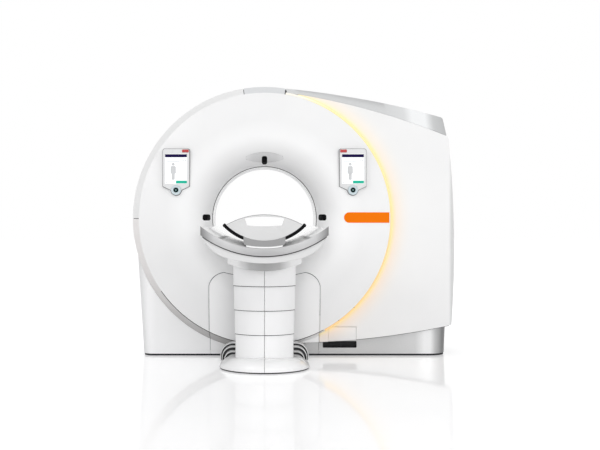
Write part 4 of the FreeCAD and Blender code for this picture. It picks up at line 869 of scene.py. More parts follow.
    def deliver(self, finish: Finish, slot: str, nodes: Sequence[str] = (), body: str = "gantry",
                smooth: float = 32.0) -> None:
        """Dress the piece and put it on its body.

        Args:
            finish: Its finish.
            slot: The record's material slot; not used.
            nodes: CAD nodes that it stands for.
            body: Body that it rides on.
            smooth: Angle in degrees below which edges are shaded smooth.
        """
        made = self.shape(self.name)
        made.data.shade_smooth()
        made.data.set_sharp_from_angle(angle=math.radians(smooth))
        made.data.materials.append(finish.material())
        self.mesh.free()
        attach(made, body)
        if nodes:
            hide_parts(*nodes)
        LOG.info("%s: %d faces", self.name, len(made.data.polygons))


def block(low: Sequence[float], high: Sequence[float]) -> Piece:
    """Make a plain block between two corners, as a cutter."""
    piece = Piece("block")
    verts = bmesh.ops.create_cube(piece.mesh, size=1.0)["verts"]
    lowest, highest = Vector(low), Vector(high)
    bmesh.ops.scale(piece.mesh, verts=verts, vec=highest - lowest)
    bmesh.ops.translate(piece.mesh, verts=verts, vec=(lowest + highest) / 2)
    return piece


# ------------------------------------------------------------------ gantry


@dataclass
class FrontCover:
    """The round front cover with its bell mouth, laser windows, display lens and lower panel.

    Attributes:
        hatch_side: Height of the lower panel's straight sides.
        hatch_top: Height of the lower panel's upper edge.
        hatch_flat: Half width of that edge.
        hatch_bow: Radius of that edge.
        hatch_corner: Radius of the panel's upper corners.
        laser: Distance of the laser windows from the bore's axis.
        laser_corner: Radius of their corners.
        laser_gap: Gap round them.
        lens_half: Half width of the display lens.
        lens_z: Lowest and highest edge of its tips above the bore's axis.
    """

    hatch_side: float = 0.531
    hatch_top: float = 0.625
    hatch_flat: float = 0.294
    hatch_bow: float = 1.120
    hatch_corner: float = 0.120
    laser: float = 0.426
    laser_corner: float = 0.013
    laser_gap: float = 0.0008
    lens_half: float = 0.136
    lens_z: Spot = (0.432, 0.452)

    @property
    def shell(self) -> Path:
        """Profile of the cover with its wall, from the rim to the throat."""
        d = DATUM
        turn, bend = d.mouth - d.bore, 0.0046
        return [(d.lip_y, d.disc), (d.rim_y + 0.004, d.disc), (d.rim_y - 0.0004, d.disc - bend, bend, 5),
                (d.ring_y, d.mouth, d.dome, 20), (d.ring_y + turn, d.bore, turn, 28),
                (d.throat_y, d.bore), (d.throat_y, d.bore + d.wall), (d.ring_y + turn, d.bore + d.wall),
                (d.ring_y + d.wall, d.mouth, d.wall - turn, 20),
                (d.rim_y + d.wall, d.disc - d.wall, -d.dome, 12), (d.lip_y, d.disc - d.wall)]

    def hatch(self, grow: float) -> Piece:
        """Make the lower panel's prism, wider by grow."""
        side, top, foot = DATUM.hatch + grow, self.hatch_top + grow, -0.06
        return Piece("hatch_room").solid(Plane.FRONT, -0.55, [
            (-side, foot), (side, foot), (side, self.hatch_side),
            (self.hatch_flat, top, self.hatch_corner, 14), (-self.hatch_flat, top, -self.hatch_bow, 16),
            (-side, self.hatch_side, self.hatch_corner, 14)], 0.35)

    def lens(self, grow: float) -> Piece:
        """Make the display lens's prism, wider by grow: two arcs that meet at blunt tips."""
        half, low, high = self.lens_half + grow, self.lens_z[0] - grow, self.lens_z[1] + grow
        return Piece("lens_room").solid(Plane.FRONT, -0.475, [
            (-half, DATUM.axis + low), (half, DATUM.axis + low, 0.49, 20), (half, DATUM.axis + high),
            (-half, DATUM.axis + high, 0.30, 20)], 0.15)

    def window(self, spot: Spot, half: Spot, grow: float) -> Piece:
        """Make the prism of a laser window, wider by grow.

        Args:
            spot: Its middle.
            half: Its half width and half height.
            grow: Distance by which it is wider.

        Returns:
            The prism.
        """
        (x, z), (wide, tall) = spot, (size + grow for size in half)
        return Piece("window_room").slab(-0.475, (x - wide, z - tall), (x + wide, z + tall),
                                         self.laser_corner + grow, 0.22)

    def windows(self) -> list[tuple[Spot, Spot]]:
        """Return the middle and half size of each laser window."""
        z, side = DATUM.axis, (0.026, 0.022)
        return [((-self.laser, z + 0.008), side), ((self.laser, z + 0.008), side),
                ((0.0, z + self.laser + 0.002), (0.019, 0.028))]

    def build(self) -> None:
        """Build the cover, its windows, the lens and the lower panel."""
        cover = Piece("front_cover_shell").turn(self.shell, steps=240)
        cover.carve(self.hatch(DATUM.seam)).carve(self.lens(HAIR))
        glasses = Piece("laser_glasses")
        for spot, half in self.windows():
            cover.carve(self.window(spot, half, self.laser_gap))
            middle = math.degrees(math.atan2(spot[0], spot[1] - DATUM.axis))
            glass = Piece("glass").turn(self.shell, middle - 9, 18, 24)
            glasses.join(glass.carve(self.window(spot, half, 0.0), "INTERSECT"))
        cover.deliver(WHITE_COVER, "white_cover", ["front_cover"])
        glasses.deliver(WINDOW_BLACK, "laser_black", ["laser_windows"])
        lens = Piece("status_lens").turn(self.shell, -24, 48, 48).carve(self.lens(0.0), "INTERSECT")
        lens.carve(self.window(*self.windows()[2], self.laser_gap))
        lens.deliver(LENS_GREY, "lens_grey", ["display_lens"])
        self.build_panel()

    def build_panel(self) -> None:
        """Build the lower front panel: its part of the cover, of the ring and of the plain front."""
        d = DATUM
        face = Piece("lower_panel_face").turn(self.shell, 136, 88, 88)
        face.carve(self.hatch(0.0), "INTERSECT")
        face.deliver(HATCH_WHITE_PAINTED_LIGHT, "white_cover", ["front_lower_panel"])
        profile = [(d.lip_y, d.disc - d.wall), (d.lip_y + 0.0004, d.disc + 0.005), (d.body_y, d.collar),
                   (d.body_y, d.collar - d.wall), (d.lip_y + 0.0064, d.disc - d.wall)]
        for side, start, finish in (("left", 180, COLLAR_PAINTED_SHADE), ("right", 150, LEG_WHITE_PAINTED_LIGHT)):
            ring = Piece(f"lower_panel_ring_{side}").turn(profile, start, 30, 40)
            ring.carve(self.hatch(0.0), "INTERSECT").deliver(finish, "white_cover")
        inner, step = 0.103, 0.033
        for side, sign, finish in (("left", -1, LEG_WHITE_PAINTED_LIGHT), ("right", 1, PLINTH_SILVER_PAINTED_LIGHT)):
            Piece(f"lower_panel_sheet_{side}").solid(Plane.FRONT, d.body_y - 0.002, [
                (0.0, step), (sign * inner, step), (sign * inner, d.skirt), (sign * d.hatch, d.skirt),
                (sign * d.hatch, d.axis - d.height(d.hatch, d.collar)),
                (0.0, d.axis - d.collar, -sign * d.collar, 16)], 0.008).deliver(finish, "white_cover")
        length = d.body_y - d.wing_y - 0.003
        tip = Piece("lower_panel_tip").solid(Plane.FRONT, d.wing_y, Wing().outline, length)
        tip.carve(self.hatch(0.0), "INTERSECT").deliver(HATCH_WHITE_PAINTED_LIGHT, "white_cover", smooth=25)


@dataclass
class RingCovers:
    """The three ring covers round the front cover, and the lit strip on the right.

    Attributes:
        top_half: Half angle of the cover at the top, in degrees.
        gap: Half angle of the gap between neighbours, in degrees.
        light_sweep: Angle of the lit strip, in degrees.
    """

    top_half: float = 9.3
    gap: float = 0.13
    light_sweep: float = 142.0

    def profile(self, rear: float) -> Path:
        """Return a ring cover's profile, lip, cone and skin, up to the skin's rear end."""
        d = DATUM
        front, skin = d.lip_y + 0.0004, d.collar - d.wall
        return [(front, d.disc - d.wall), (front, d.disc + 0.002),
                (front + 0.003, d.disc + 0.0064, -0.0045, 4), (d.body_y - 0.010, d.collar - 0.0047),
                (d.body_y + 0.002, d.collar, -0.0262, 5), (rear, d.collar), (rear, skin),
                (d.body_y + 0.004, skin),
                (front + 0.008, d.disc + 0.001), (front + 0.008, d.disc - d.wall)]

    def build(self) -> None:
        """Build the ring covers and the dark strips under the gaps between them."""
        d, half = DATUM, self.top_half
        for name, start, sweep, finish, rear, slot in (
                ("top", -half, 2 * half, CAP_SILVER, d.side_end, "silver_cover"),
                ("left", -90.0, 90.0 - half, COLLAR_PALE, d.side_end, "collar_paint"),
                ("lower", -180.0, 90.0, COLLAR_PAINTED_SHADE, d.body_y + 0.012, "collar_paint")):
            ring = Piece(f"collar_{name}_skin")
            ring.turn(self.profile(rear), start + self.gap, sweep - 2 * self.gap,
                      max(int(sweep * 1.2), 24))
            if name == "lower":
                ring.carve(FrontCover().hatch(d.seam))
            ring.deliver(finish, slot, [f"collar_{name}_cover"])
        under, upper, lower = Piece("ring_seam_strips"), d.collar - 0.0064, d.collar - 0.009
        skin_end = d.side_end - 0.002
        for angle, end in ((-90.0, d.body_y + 0.010), (-half, skin_end), (half, skin_end)):
            under.turn([(d.lip_y + 0.009, d.disc + 0.0005), (d.body_y + 0.004, upper), (end, upper),
                        (end, lower), (d.body_y + 0.006, lower), (d.lip_y + 0.012, d.disc - 0.002)],
                       angle - 0.6, 1.2, 4)
        under.deliver(BLACK_RUBBER, "seal_black")
        self.build_light()

    def build_light(self) -> None:
        """Build the lit strip, the pale end under it, the rim's gasket and the two clips."""
        d, start = DATUM, self.top_half + 0.3
        front, back, edge = d.lip_y + 0.002, d.wing_y + 0.030, d.wing_ring - 0.0005
        profile = [(front, d.disc + 0.003), (front, d.disc + 0.009), (d.wing_y - 0.004, edge),
                   (back, edge),
                   (back, d.wing_ring - 0.006)]
        strip = Piece("light_strip").turn(profile, start, self.light_sweep, 170)
        strip.deliver(LIGHT_STRIP, "light_diffuser", ["light_ring"])
        stopper = Piece("light_strip_end").turn(profile, start + self.light_sweep + 0.05, 4.5, 6)
        stopper.carve(FrontCover().hatch(d.seam)).deliver(HATCH_WHITE_PAINTED_LIGHT, "white_cover")
        Piece("rim_gasket").turn([
            (d.lip_y - 0.004, d.disc + 0.0003), (d.lip_y - 0.004, d.disc + 0.0065),
            (d.lip_y + 0.008, d.disc + 0.0075), (d.lip_y + 0.0002, d.disc + 0.0003)], 152, 83, 90
            ).deliver(BLACK_RUBBER, "seal_black")
        clips = Piece("light_strip_clips")
        for x, z in ((0.657, 0.369), (0.545, 0.273)):
            clips.rod((x, d.lip_y, z), 0.003, 0.006, 16, 0.0022)
        clips.deliver(BLACK_RUBBER, "seal_black")


@dataclass
class Wing:
    """The large cover on the right with its service flap.

    Attributes:
        edge: Right edge.
        top: Height of its upper right corner.
        foot: Height of its lower right corner.
        foot_bow: Radius of its lower edge.
        tip: Left end of its upper edge.
        toe: Left end of its lower edge.
        rear: Rear of its edges.
        rounding: Rounding of its outer edges.
        flap: Left end, right end and top of the flap.
    """

    edge: float = 1.383
    top: float = 1.628
    foot: float = 0.230
    foot_bow: float = 5.955
    tip: float = 0.250
    toe: float = 0.219
    rear: float = -0.205
    rounding: float = 0.014
    flap: tuple[float, float, float] = (0.474, 0.677, 0.217)

    @property
    def toe_z(self) -> float:
        """Height of its lower edge's left end."""
        return DATUM.axis - DATUM.height(self.toe, DATUM.wing_ring)

    @property
    def outline(self) -> Path:
        """The wing's front view."""
        ring, tip_z = DATUM.wing_ring, DATUM.axis + DATUM.height(self.tip, DATUM.wing_ring)
        return [(self.tip, tip_z + 0.006), (self.tip, tip_z), (ring, DATUM.axis, -ring, 60),
                (self.toe, self.toe_z, -ring, 60), (self.edge - 0.016, self.foot, self.foot_bow, 24),
                (self.edge, self.foot + 0.016, 0.016, 5), (self.edge - 0.024, self.top, 7.866, 24),
                (self.edge - 0.044, self.top + 0.006, 0.020, 5), (self.tip, tip_z + 0.006, 5.250, 24)]

    def build(self) -> None:
        """Build the wing with its rounded outer edges, the dark strip under it that paints the shadow line
        above the plinth, and the flap.
        """
        d = DATUM
        wing = Piece("wing_skin")
        face = wing.face(Plane.FRONT, d.wing_y, self.outline)
        rim = list(face.edges)
        wing.push(face, (0, self.rear - d.wing_y, 0))
        wing.bevel([edge for edge in rim if edge.is_valid and edge.verts[0].co.x > 0.3 and all(
            math.hypot(vert.co.x, vert.co.z - d.axis) > d.wing_ring + 0.0004 for vert in edge.verts)],
            self.rounding, 6)
        left, right, top = self.flap
        wing.carve(block((left - 0.001, -0.36, 0.0), (right + 0.0025, -0.30, top + 0.0032)))
        wing.carve(FrontCover().hatch(d.seam))
        wing.deliver(WING_WHITE_PAINTED_GLOW_AND_SHADE, "white_cover", ["wing_cover"], smooth=25)
        # Painted shadow: a dark strip in the gap under the wing's lower edge.
        drop = 0.0048
        seal = Piece("wing_shadow_line").solid(Plane.FRONT, d.wing_y + 0.006, [
            (self.toe, self.toe_z + 0.002), (self.edge - 0.016, self.foot + 0.002, self.foot_bow, 24),
            (self.edge - 0.020, self.foot - drop), (self.toe, self.toe_z - drop, -self.foot_bow, 24)],
            0.026)
        seal.carve(FrontCover().hatch(d.seam))
        seal.carve(block((left - 0.004, -0.36, 0.0), (right + 0.005, -0.28, 0.2)))
        seal.deliver(DARK_RIM_AND_SHADOW_LINE, "seal_black", smooth=25)
        flap = Piece("flap_skin").solid(Plane.FRONT, d.wing_y, self.outline, d.wall)
        flap.carve(block((left, -0.34, 0.0), (right, -0.32, top)), "INTERSECT")
        flap.soften(0.0008, 2, 50).deliver(WING_WHITE_PAINTED_GLOW_AND_SHADE, "flap_white", ["service_flap"], "flap")


@dataclass
class SilverCovers:
    """The silver top band, the plinth with its recess, and the white leg on the left.

    Attributes:
        side: Right side of the top band.
        shoulder: Upper and lower end of its shoulder's bend, behind the wing.
        shoulder_bend: Radius of that bend.
        roof_bow: Radius of the roof behind the wing.
        plinth: Right side of the plinth.
        plinth_corner: Radius of the plinth's upright corner.
        plinth_top: Height of the plinth.
        leg_foot: Outer edge of the leg at the floor.
        leg_corner: Radius of the leg's upright corner.
    """

    side: float = 1.364
    shoulder: tuple[Spot, Spot] = ((1.318, 1.7835), (1.3405, 1.764))
    shoulder_bend: float = 0.026
    roof_bow: float = 5.6
    plinth: float = 1.358
    plinth_corner: float = 0.125
    plinth_top: float = 0.297
    leg_foot: float = 0.903
    leg_corner: float = 0.080

    def band_line(self, high: bool) -> Path:
        """Return a section of the top band, from the ring cover over the shoulder and down.

        Args:
            high: True behind the wing, False along the wing's upper edge.

        Returns:
            The section's path.
        """
        d = DATUM
        start, bow, (upper, lower) = d.height(d.band_x, d.collar), self.roof_bow, self.shoulder
        if not high:
            start, bow = d.height(d.band_x, d.wing_ring) + 0.004, 5.25
            upper, lower = (1.337, 1.6415), (1.352, 1.628)
        return [(d.band_x, d.axis + start), (*upper, -bow, 40), (*lower, -self.shoulder_bend, 6),
                (self.side, 1.600), (self.side, 0.300)]

    def wall(self, name: str, edge: float, corner: float, top: float, low: float, high: float) -> Piece:
        """Make a leaning side wall that turns a round corner into a front wall.

        Args:
            name: The piece's name.
            edge: Outer face at mid height, to the right of the axis.
            corner: Radius of the upright corner.
            top: The wall's top.
            low: Distance by which the foot stands further in.
            high: Distance by which the top stands further out.

        Returns:
            The piece.
        """
        d, piece, reach = DATUM, Piece(name), 0.15
        foot, bend = edge - low, edge - low - corner
        face = piece.face(Plane.PLAN, d.skirt, [
            (d.body_x, d.body_y), (bend, d.body_y), (foot, d.body_y + corner, corner, 16),
            (foot, d.side_end),
            (foot - d.wall, d.side_end), (foot - d.wall, d.body_y + corner),
            (bend, d.body_y + d.wall, d.wall - corner, 16), (d.body_x, d.body_y + d.wall)])
        for vert in piece.push(face, (0, 0, top - d.skirt)):
            vert.co.x += (low + high) * min(max((vert.co.x - (bend - reach)) / reach, 0.0), 1.0)
        return piece

    def recess(self, name: str, inset: float, level: float, length: float) -> Piece:
        """Make the dark recess's block.

        Args:
            name: The piece's name.
            inset: Distance by which it is smaller.
            level: Its front.
            length: Its length along the bore.

        Returns:
            The piece.
        """
        return Piece(name).slab(level, (0.433 + inset, 0.058 + inset), (0.686 - inset, 0.108 - inset),
                                0.008 - inset, length)

    def build(self) -> None:
        """Build the band, the plinth, its recess, the leg and the skirt."""
        d = DATUM
        band = Piece("top_band_skin")
        loops = [band.draw(Plane.FRONT, level, self.band_line(high), closed=False)
                 for level, high in ((d.wing_y + 0.020, False), (Wing.rear, True), (d.side_end, True))]
        for vert in {vert for edge in loops[0] for vert in edge.verts}:
            if vert.co.z < 1.62:
                vert.co.y = Wing.rear + 0.001
        for vert in {vert for edge in loops[1] for vert in edge.verts}:
            share = max(1 - (vert.co.x - d.band_x) / 0.45, 0.0)
            vert.co.y = Wing.rear + (d.body_y - Wing.rear) * share
        for front, rear in zip(loops, loops[1:]):
            bmesh.ops.bridge_loops(band.mesh, edges=[*front, *rear])
        bmesh.ops.recalc_face_normals(band.mesh, faces=band.mesh.faces)
        if sum(face.normal.z * face.calc_area() for face in band.mesh.faces) < 0:
            bmesh.ops.reverse_faces(band.mesh, faces=band.mesh.faces)
        bmesh.ops.solidify(band.mesh, geom=band.mesh.faces[:], thickness=0.005)
        band.deliver(TOP_BAND_SILVER_PAINTED_LIGHT, "silver_cover", ["top_band_cover"], smooth=40)

        plinth = self.wall("plinth_skin", self.plinth, self.plinth_corner, self.plinth_top, 0.004, 0.008)
        plinth.carve(self.recess("recess_room", 0.0, -0.30, 0.05))
        plinth.deliver(PLINTH_SILVER_PAINTED_LIGHT, "silver_cover", ["plinth_cover"], smooth=25)
        pocket = self.recess("recess_lining", 0.0003, d.body_y + 0.001, 0.060)
        pocket.carve(self.recess("recess_inner", 0.0033, d.body_y - 0.01, 0.068))
        pocket.deliver(RECESS_BLACK, "recess_black", ["recess_pocket"])
        self.build_leg()
        self.build_skirt()

    def build_leg(self) -> None:
        """Build the leg: a leaning wall with the circle of the ring covers cut out."""
        d, angle = DATUM, math.radians(DATUM.lean)
        leg = self.wall("leg_skin", self.leg_foot, self.leg_corner, d.axis - d.collar * math.sin(angle),
                        0.0,
                        d.collar * math.cos(angle) - self.leg_foot)
        bmesh.ops.scale(leg.mesh, verts=leg.mesh.verts, vec=(-1, 1, 1))
        for radius, start, end in ((0.981, -0.30, d.body_y + 0.012), (0.972, d.body_y + 0.011, -0.18)):
            leg.carve(Piece("ring_room").rod((0, (start + end) / 2, d.axis), radius, end - start, 240))
        front, skin = d.body_y + 0.014, d.collar - d.wall
        leg.turn([(front, d.collar), (d.side_end, d.collar), (d.side_end, skin), (front, skin)],
                 -90.0 - d.lean - 0.3, d.lean + 0.25, 24)
        leg.deliver(LEG_WHITE_PAINTED_LIGHT, "white_cover", ["leg_cover"], smooth=25)

    def build_skirt(self) -> None:
        """Build the black skirt that closes the gap between the covers and the floor; it also paints that
        gap's shade.
        """
        skirt, wall = Piece("floor_skirt_shade"), DATUM.wall
        inner, front, rear = 0.106, DATUM.body_y + 0.004, 0.424
        for sign, edge, corner in ((1, self.plinth - 0.008, self.plinth_corner),
                                   (-1, self.leg_foot - 0.004, self.leg_corner)):
            skirt.solid(Plane.PLAN, HAIR, [
                (sign * inner, front), (sign * (edge - corner), front),
                (sign * edge, front + corner, sign * corner, 16), (sign * edge, rear),
                (sign * (edge - wall), rear), (sign * (edge - wall), front + corner),
                (sign * (edge - corner), front + wall, sign * (wall - corner), 16),
                (sign * inner, front + wall)], DATUM.skirt - 0.0008)
        skirt.deliver(BLACK_RUBBER, "seal_black")


@dataclass
class ControlPanels:
    """The two control panels on the front cover.

    Attributes:
        x: Middle of a panel from the bore's axis.
        half: Half width of a panel.
        top: Height of its upper edge.
        side: Height where it starts to taper.
        face: Place of its face along the bore.
        stop: Middle of the stop button from the panel's middle, towards the bore.
        dial_z: Height of the dial.
        dial_radius: Radius of the dial.
        glass: Thickness of the screen's glass.
        proud: Height of the shapes on the glass.
    """

    x: float = 0.640
    half: float = 0.0962
    top: float = 1.524
    side: float = 1.253
    face: float = -0.500
    stop: float = 0.068
    dial_z: float = 1.226
    dial_radius: float = 0.036
    glass: float = 0.002
    proud: float = 0.0004

    def housing(self, name: str, sign: int, grow: float = 0.0) -> Piece:
        """Make one housing with its round boss and its rear on the cover.

        Args:
            name: The piece's name.
            sign: Side of the bore's axis.
            grow: Distance by which the outline is wider; a wider one lies behind the face.

        Returns:
            The piece.
        """
        d, x, bend = DATUM, sign * self.x, 0.016
        half, radius, top = self.half + grow, self.dial_radius + grow, self.top + grow
        side, foot = self.side - grow / 2, self.dial_z - 0.002 - grow / 2
        face = self.face + 5 * grow
        depth = self.face + 0.075 - face
        piece = Piece(name).solid(Plane.FRONT, face, [
            (x - half, side), (x - radius, foot), (x + radius, foot), (x + half, side),
            (x + half, top - bend), (x + half - bend, top, bend, 6), (x - half + bend, top),
            (x - half, top - bend, bend, 6)],
            depth, 0.001 if grow else 0.004)
        boss = Piece("dial_boss").rod((x, face + depth / 2, self.dial_z), radius + 0.001, depth, 48)
        piece.carve(boss, "UNION")
        if not grow:
            stop = x - sign * self.stop
            piece.carve(Piece("stop_room").slab(self.face - 0.01, (stop - 0.0245, top - 0.0265),
                                                (stop + 0.0245, top - 0.0045), 0.005, 0.020))
        rim, ring = d.rim_y - 0.0002, d.ring_y - 0.0002
        return piece.carve(Piece("dome_room").turn([
            (rim, d.disc), (ring, d.mouth, d.dome, 20), (ring, 0.4), (d.body_y, 0.4), (d.body_y, d.disc)],
            sign * 62 - 16, 32, 40))

    def build_screen(self, sign: int, side: str) -> None:
        """Build one screen: its glass, the bar, the green key, and the figure with its lines."""
        x, face = sign * self.x, self.face - self.glass
        glass = Piece(f"screen_glass_{side}")
        glass.slab(face, (x - 0.080, 1.272), (x + 0.080, 1.487), 0.004, self.glass)
        glass.deliver(SCREEN_WHITE, "screen_glass", ["panel_screens"] if sign < 0 else [])
        for name, finish, tiles in (
                ("bar", SCREEN_NAVY, ((-0.079, 1.463, 0.079, 1.485, 0.001),)),
                ("key", SCREEN_GREEN, ((0.0, 1.274, 0.079, 1.294, 0.002),)),
                ("marks", SCREEN_GREY, (
                    (-0.039, 1.343, -0.001, 1.400, 0.011), (-0.031, 1.300, -0.009, 1.350, 0.006, 0.0003),
                    (-0.066, 1.430, 0.028, 1.434, 0.001), (0.046, 1.438, 0.056, 1.446, 0.002),
                    (0.062, 1.438, 0.072, 1.446, 0.002), (-0.076, 1.279, -0.064, 1.283, 0.001)))):
            piece = Piece(f"screen_{name}_{side}")
            if name == "marks":
                depth = self.proud + 0.0005
                piece.rod((x - 0.020, face - self.proud + depth / 2, 1.413), 0.0105, depth, 20)
            for left, low, right, high, radius, *lower in tiles:
                proud = lower[0] if lower else self.proud
                piece.slab(face - proud, (x + left, low), (x + right, high), radius, proud + 0.0005)
            piece.deliver(finish, "screen_glass")

    def build_dial(self, sign: int, side: str) -> None:
        """Build one dial: a pale ring with a dished dark centre and a light dot."""
        for name, finish, profile in (
                ("ring", DIAL_PALE, ((-0.5004, 0.0), (-0.5004, 0.036), (-0.508, 0.036), (-0.512, 0.033),
                                     (-0.512, 0.021), (-0.509, 0.0185), (-0.509, 0.0))),
                ("centre", DIAL_DARK, ((-0.509, 0.0), (-0.509, 0.018), (-0.5105, 0.0165),
                                       (-0.5105, 0.0062),
                                       (-0.5098, 0.0056), (-0.5098, 0.0))),
                ("dot", DOT_TEAL, ((-0.5098, 0.0), (-0.5098, 0.0048), (-0.5105, 0.0040), (-0.5105, 0.0)))):
            knob = Piece(f"dial_{name}_{side}").turn(profile, steps=48, closed=False)
            bmesh.ops.translate(knob.mesh, verts=knob.mesh.verts,
                                vec=(sign * self.x, 0, self.dial_z - DATUM.axis))
            nodes = [f"dial_{side}"] if name == "ring" else []
            knob.deliver(finish, "dial_ring", nodes, f"dial_{side}_body", 50)

    def build(self) -> None:
        """Build both panels."""
        for sign, side in ((-1, "left"), (1, "right")):
            # Painted shadow: a slightly wider dark copy behind each housing shows as a dark line round it.
            self.housing(f"housing_shadow_line_{side}", sign, 0.0035).deliver(DARK_RIM_AND_SHADOW_LINE, "panel_grey", smooth=25)
            self.housing(f"housing_{side}", sign).deliver(
                PANEL_GREY, "panel_grey", ["panel_housings"] if sign < 0 else [], smooth=25)
            self.build_screen(sign, side)
            self.build_dial(sign, side)
            x = sign * (self.x - self.stop)
            stop = Piece(f"stop_key_{side}").slab(self.face - 0.004, (x - 0.024, self.top - 0.026),
                                                  (x + 0.024, self.top - 0.005), 0.0045, 0.010, 0.002)
            stop.deliver(STOP_RED, "stop_red", [f"stop_button_{side}"], f"stop_{side}", 50)


@dataclass
class Badge:
    """The bare orange plate on the front cover's right side.

    Attributes:
        left: Left end.
        right: Right end.
        z: Height of its middle.
        half: Half height.
    """

    left: float = 0.577
    right: float = 0.912
    z: float = 1.027
    half: float = 0.038

    def build(self) -> None:
        """Build the plate as a slice of a shell over the dome."""
        d, front, back, inner = DATUM, 0.002, 0.0002, 0.56
        plate = Piece("badge_skin").turn([
            (d.rim_y - front, d.disc), (d.ring_y - front, d.mouth, d.dome, 24), (d.ring_y - front, inner),
            (d.ring_y - back, inner), (d.ring_y - back, d.mouth), (d.rim_y - back, d.disc, -d.dome, 24)],
            84, 12, 60)
        left, low, high = self.left + self.half, self.z - self.half, self.z + self.half
        prism = Piece("badge_room").solid(Plane.FRONT, -0.5, [
            (left, low), (self.right, low), (self.right, high), (left, high),
            (self.left, self.z, self.half, 8), (left, low, self.half, 8)], 0.08)
        plate.carve(prism, "INTERSECT").deliver(BADGE_ORANGE, "badge_orange", ["badge_plate"], smooth=25)


@dataclass
class TunnelAndRear:
    """The tunnel's liners and the rear cover with its own mouth.

    Attributes:
        window: Half length of the scan window.
        liner: Wall of the liners.
        mouth_end: Rearmost ring of the rear mouth.
        plate_side: Right side of the rear plate.
        plate_foot: Height of its lower edge.
    """

    window: float = 0.062
    liner: float = 0.004
    mouth_end: float = 0.480
    plate_side: float = 1.362
    plate_foot: float = 0.004

    def build(self) -> None:
        """Build the liners, their gasket and the rear cover's mouth."""
        d = DATUM
        liner, outer = Piece("tunnel_lining"), d.bore + self.liner
        for start, end in ((d.throat_y, -self.window), (self.window, -d.throat_y)):
            liner.turn([(start, d.bore), (end, d.bore), (end, outer), (start, outer)])
        liner.deliver(TUNNEL_WHITE, "tunnel_white", ["tunnel_liners"])
        upper, lower = d.bore - 0.0002, d.bore - 0.003
        Piece("mouth_gasket").turn([
            (d.throat_y - 0.001, upper), (d.throat_y + 0.030, upper), (d.throat_y + 0.028, lower),
            (d.throat_y + 0.001, lower)]).deliver(BLACK_RUBBER, "seal_black")
        turn, end, rim = d.mouth - d.bore, self.mouth_end, d.mouth + 0.076
        Piece("rear_mouth_skin").turn([
            (-d.throat_y, d.bore), (end - turn, d.bore), (end, d.mouth, turn, 24), (end, d.mouth + 0.026),
            (end - 0.004, d.mouth + 0.033, 0.008, 4), (d.rear_y + d.wall, rim), (d.rear_y, rim),
            (d.rear_y, d.mouth + 0.070), (end - d.wall, d.mouth + 0.027), (end - d.wall, d.mouth),
            (end - turn, d.bore + d.wall, d.wall - turn, 20), (-d.throat_y, d.bore + d.wall)]
            ).deliver(WHITE_COVER, "white_cover", ["rear_cover"])
        self.build_plate()

    def build_plate(self) -> None:
        """Build the rear plate with its grooves and air slots, and the mat behind the slots."""
        d, silver, angle = DATUM, SilverCovers(), math.radians(DATUM.lean)
        (upper, lower), half_right = silver.shoulder, d.collar * math.sqrt(0.5)
        plate = Piece("rear_plate_skin").solid(Plane.FRONT, d.rear_y, [
            (-silver.leg_foot, self.plate_foot), (1.344, self.plate_foot), (self.plate_side, 0.310),
            (self.plate_side, 1.600), lower, (*upper, silver.shoulder_bend, 6),
            (d.band_x, d.axis + d.height(d.band_x, d.collar), silver.roof_bow, 40),
            (-half_right, d.axis + half_right, d.collar, 40),
            (-d.collar * math.cos(angle), d.axis - d.collar * math.sin(angle), d.collar, 40)], d.wall)
        plate.carve(Piece("mouth_room").rod((0, d.rear_y, d.axis), d.mouth + 0.070, 0.06, 192))
        cuts, groove = Piece("seam_and_slot_room"), 0.0015
        for x, z in ((-0.655, 1.55), (0.780, 1.88)):
            cuts.slab(d.rear_y + 0.003, (x - groove, 0.0), (x + groove, z), 0.0005, 0.01)
        for low in (0.120 + 0.026 * row for row in range(8)):
            for left in (0.850, 1.085):
                cuts.slab(d.rear_y - 0.01, (left, low), (left + 0.21, low + 0.010), 0.0049, 0.03)
        plate.carve(cuts).deliver(WHITE_COVER, "white_cover")
        mat = Piece("air_inlet_mat").slab(d.rear_y - 0.005, (0.835, 0.105), (1.310, 0.327), 0.02, 0.0046)
        mat.deliver(BLACK_RUBBER, "seal_black")


# ------------------------------------------------------------------ patient table


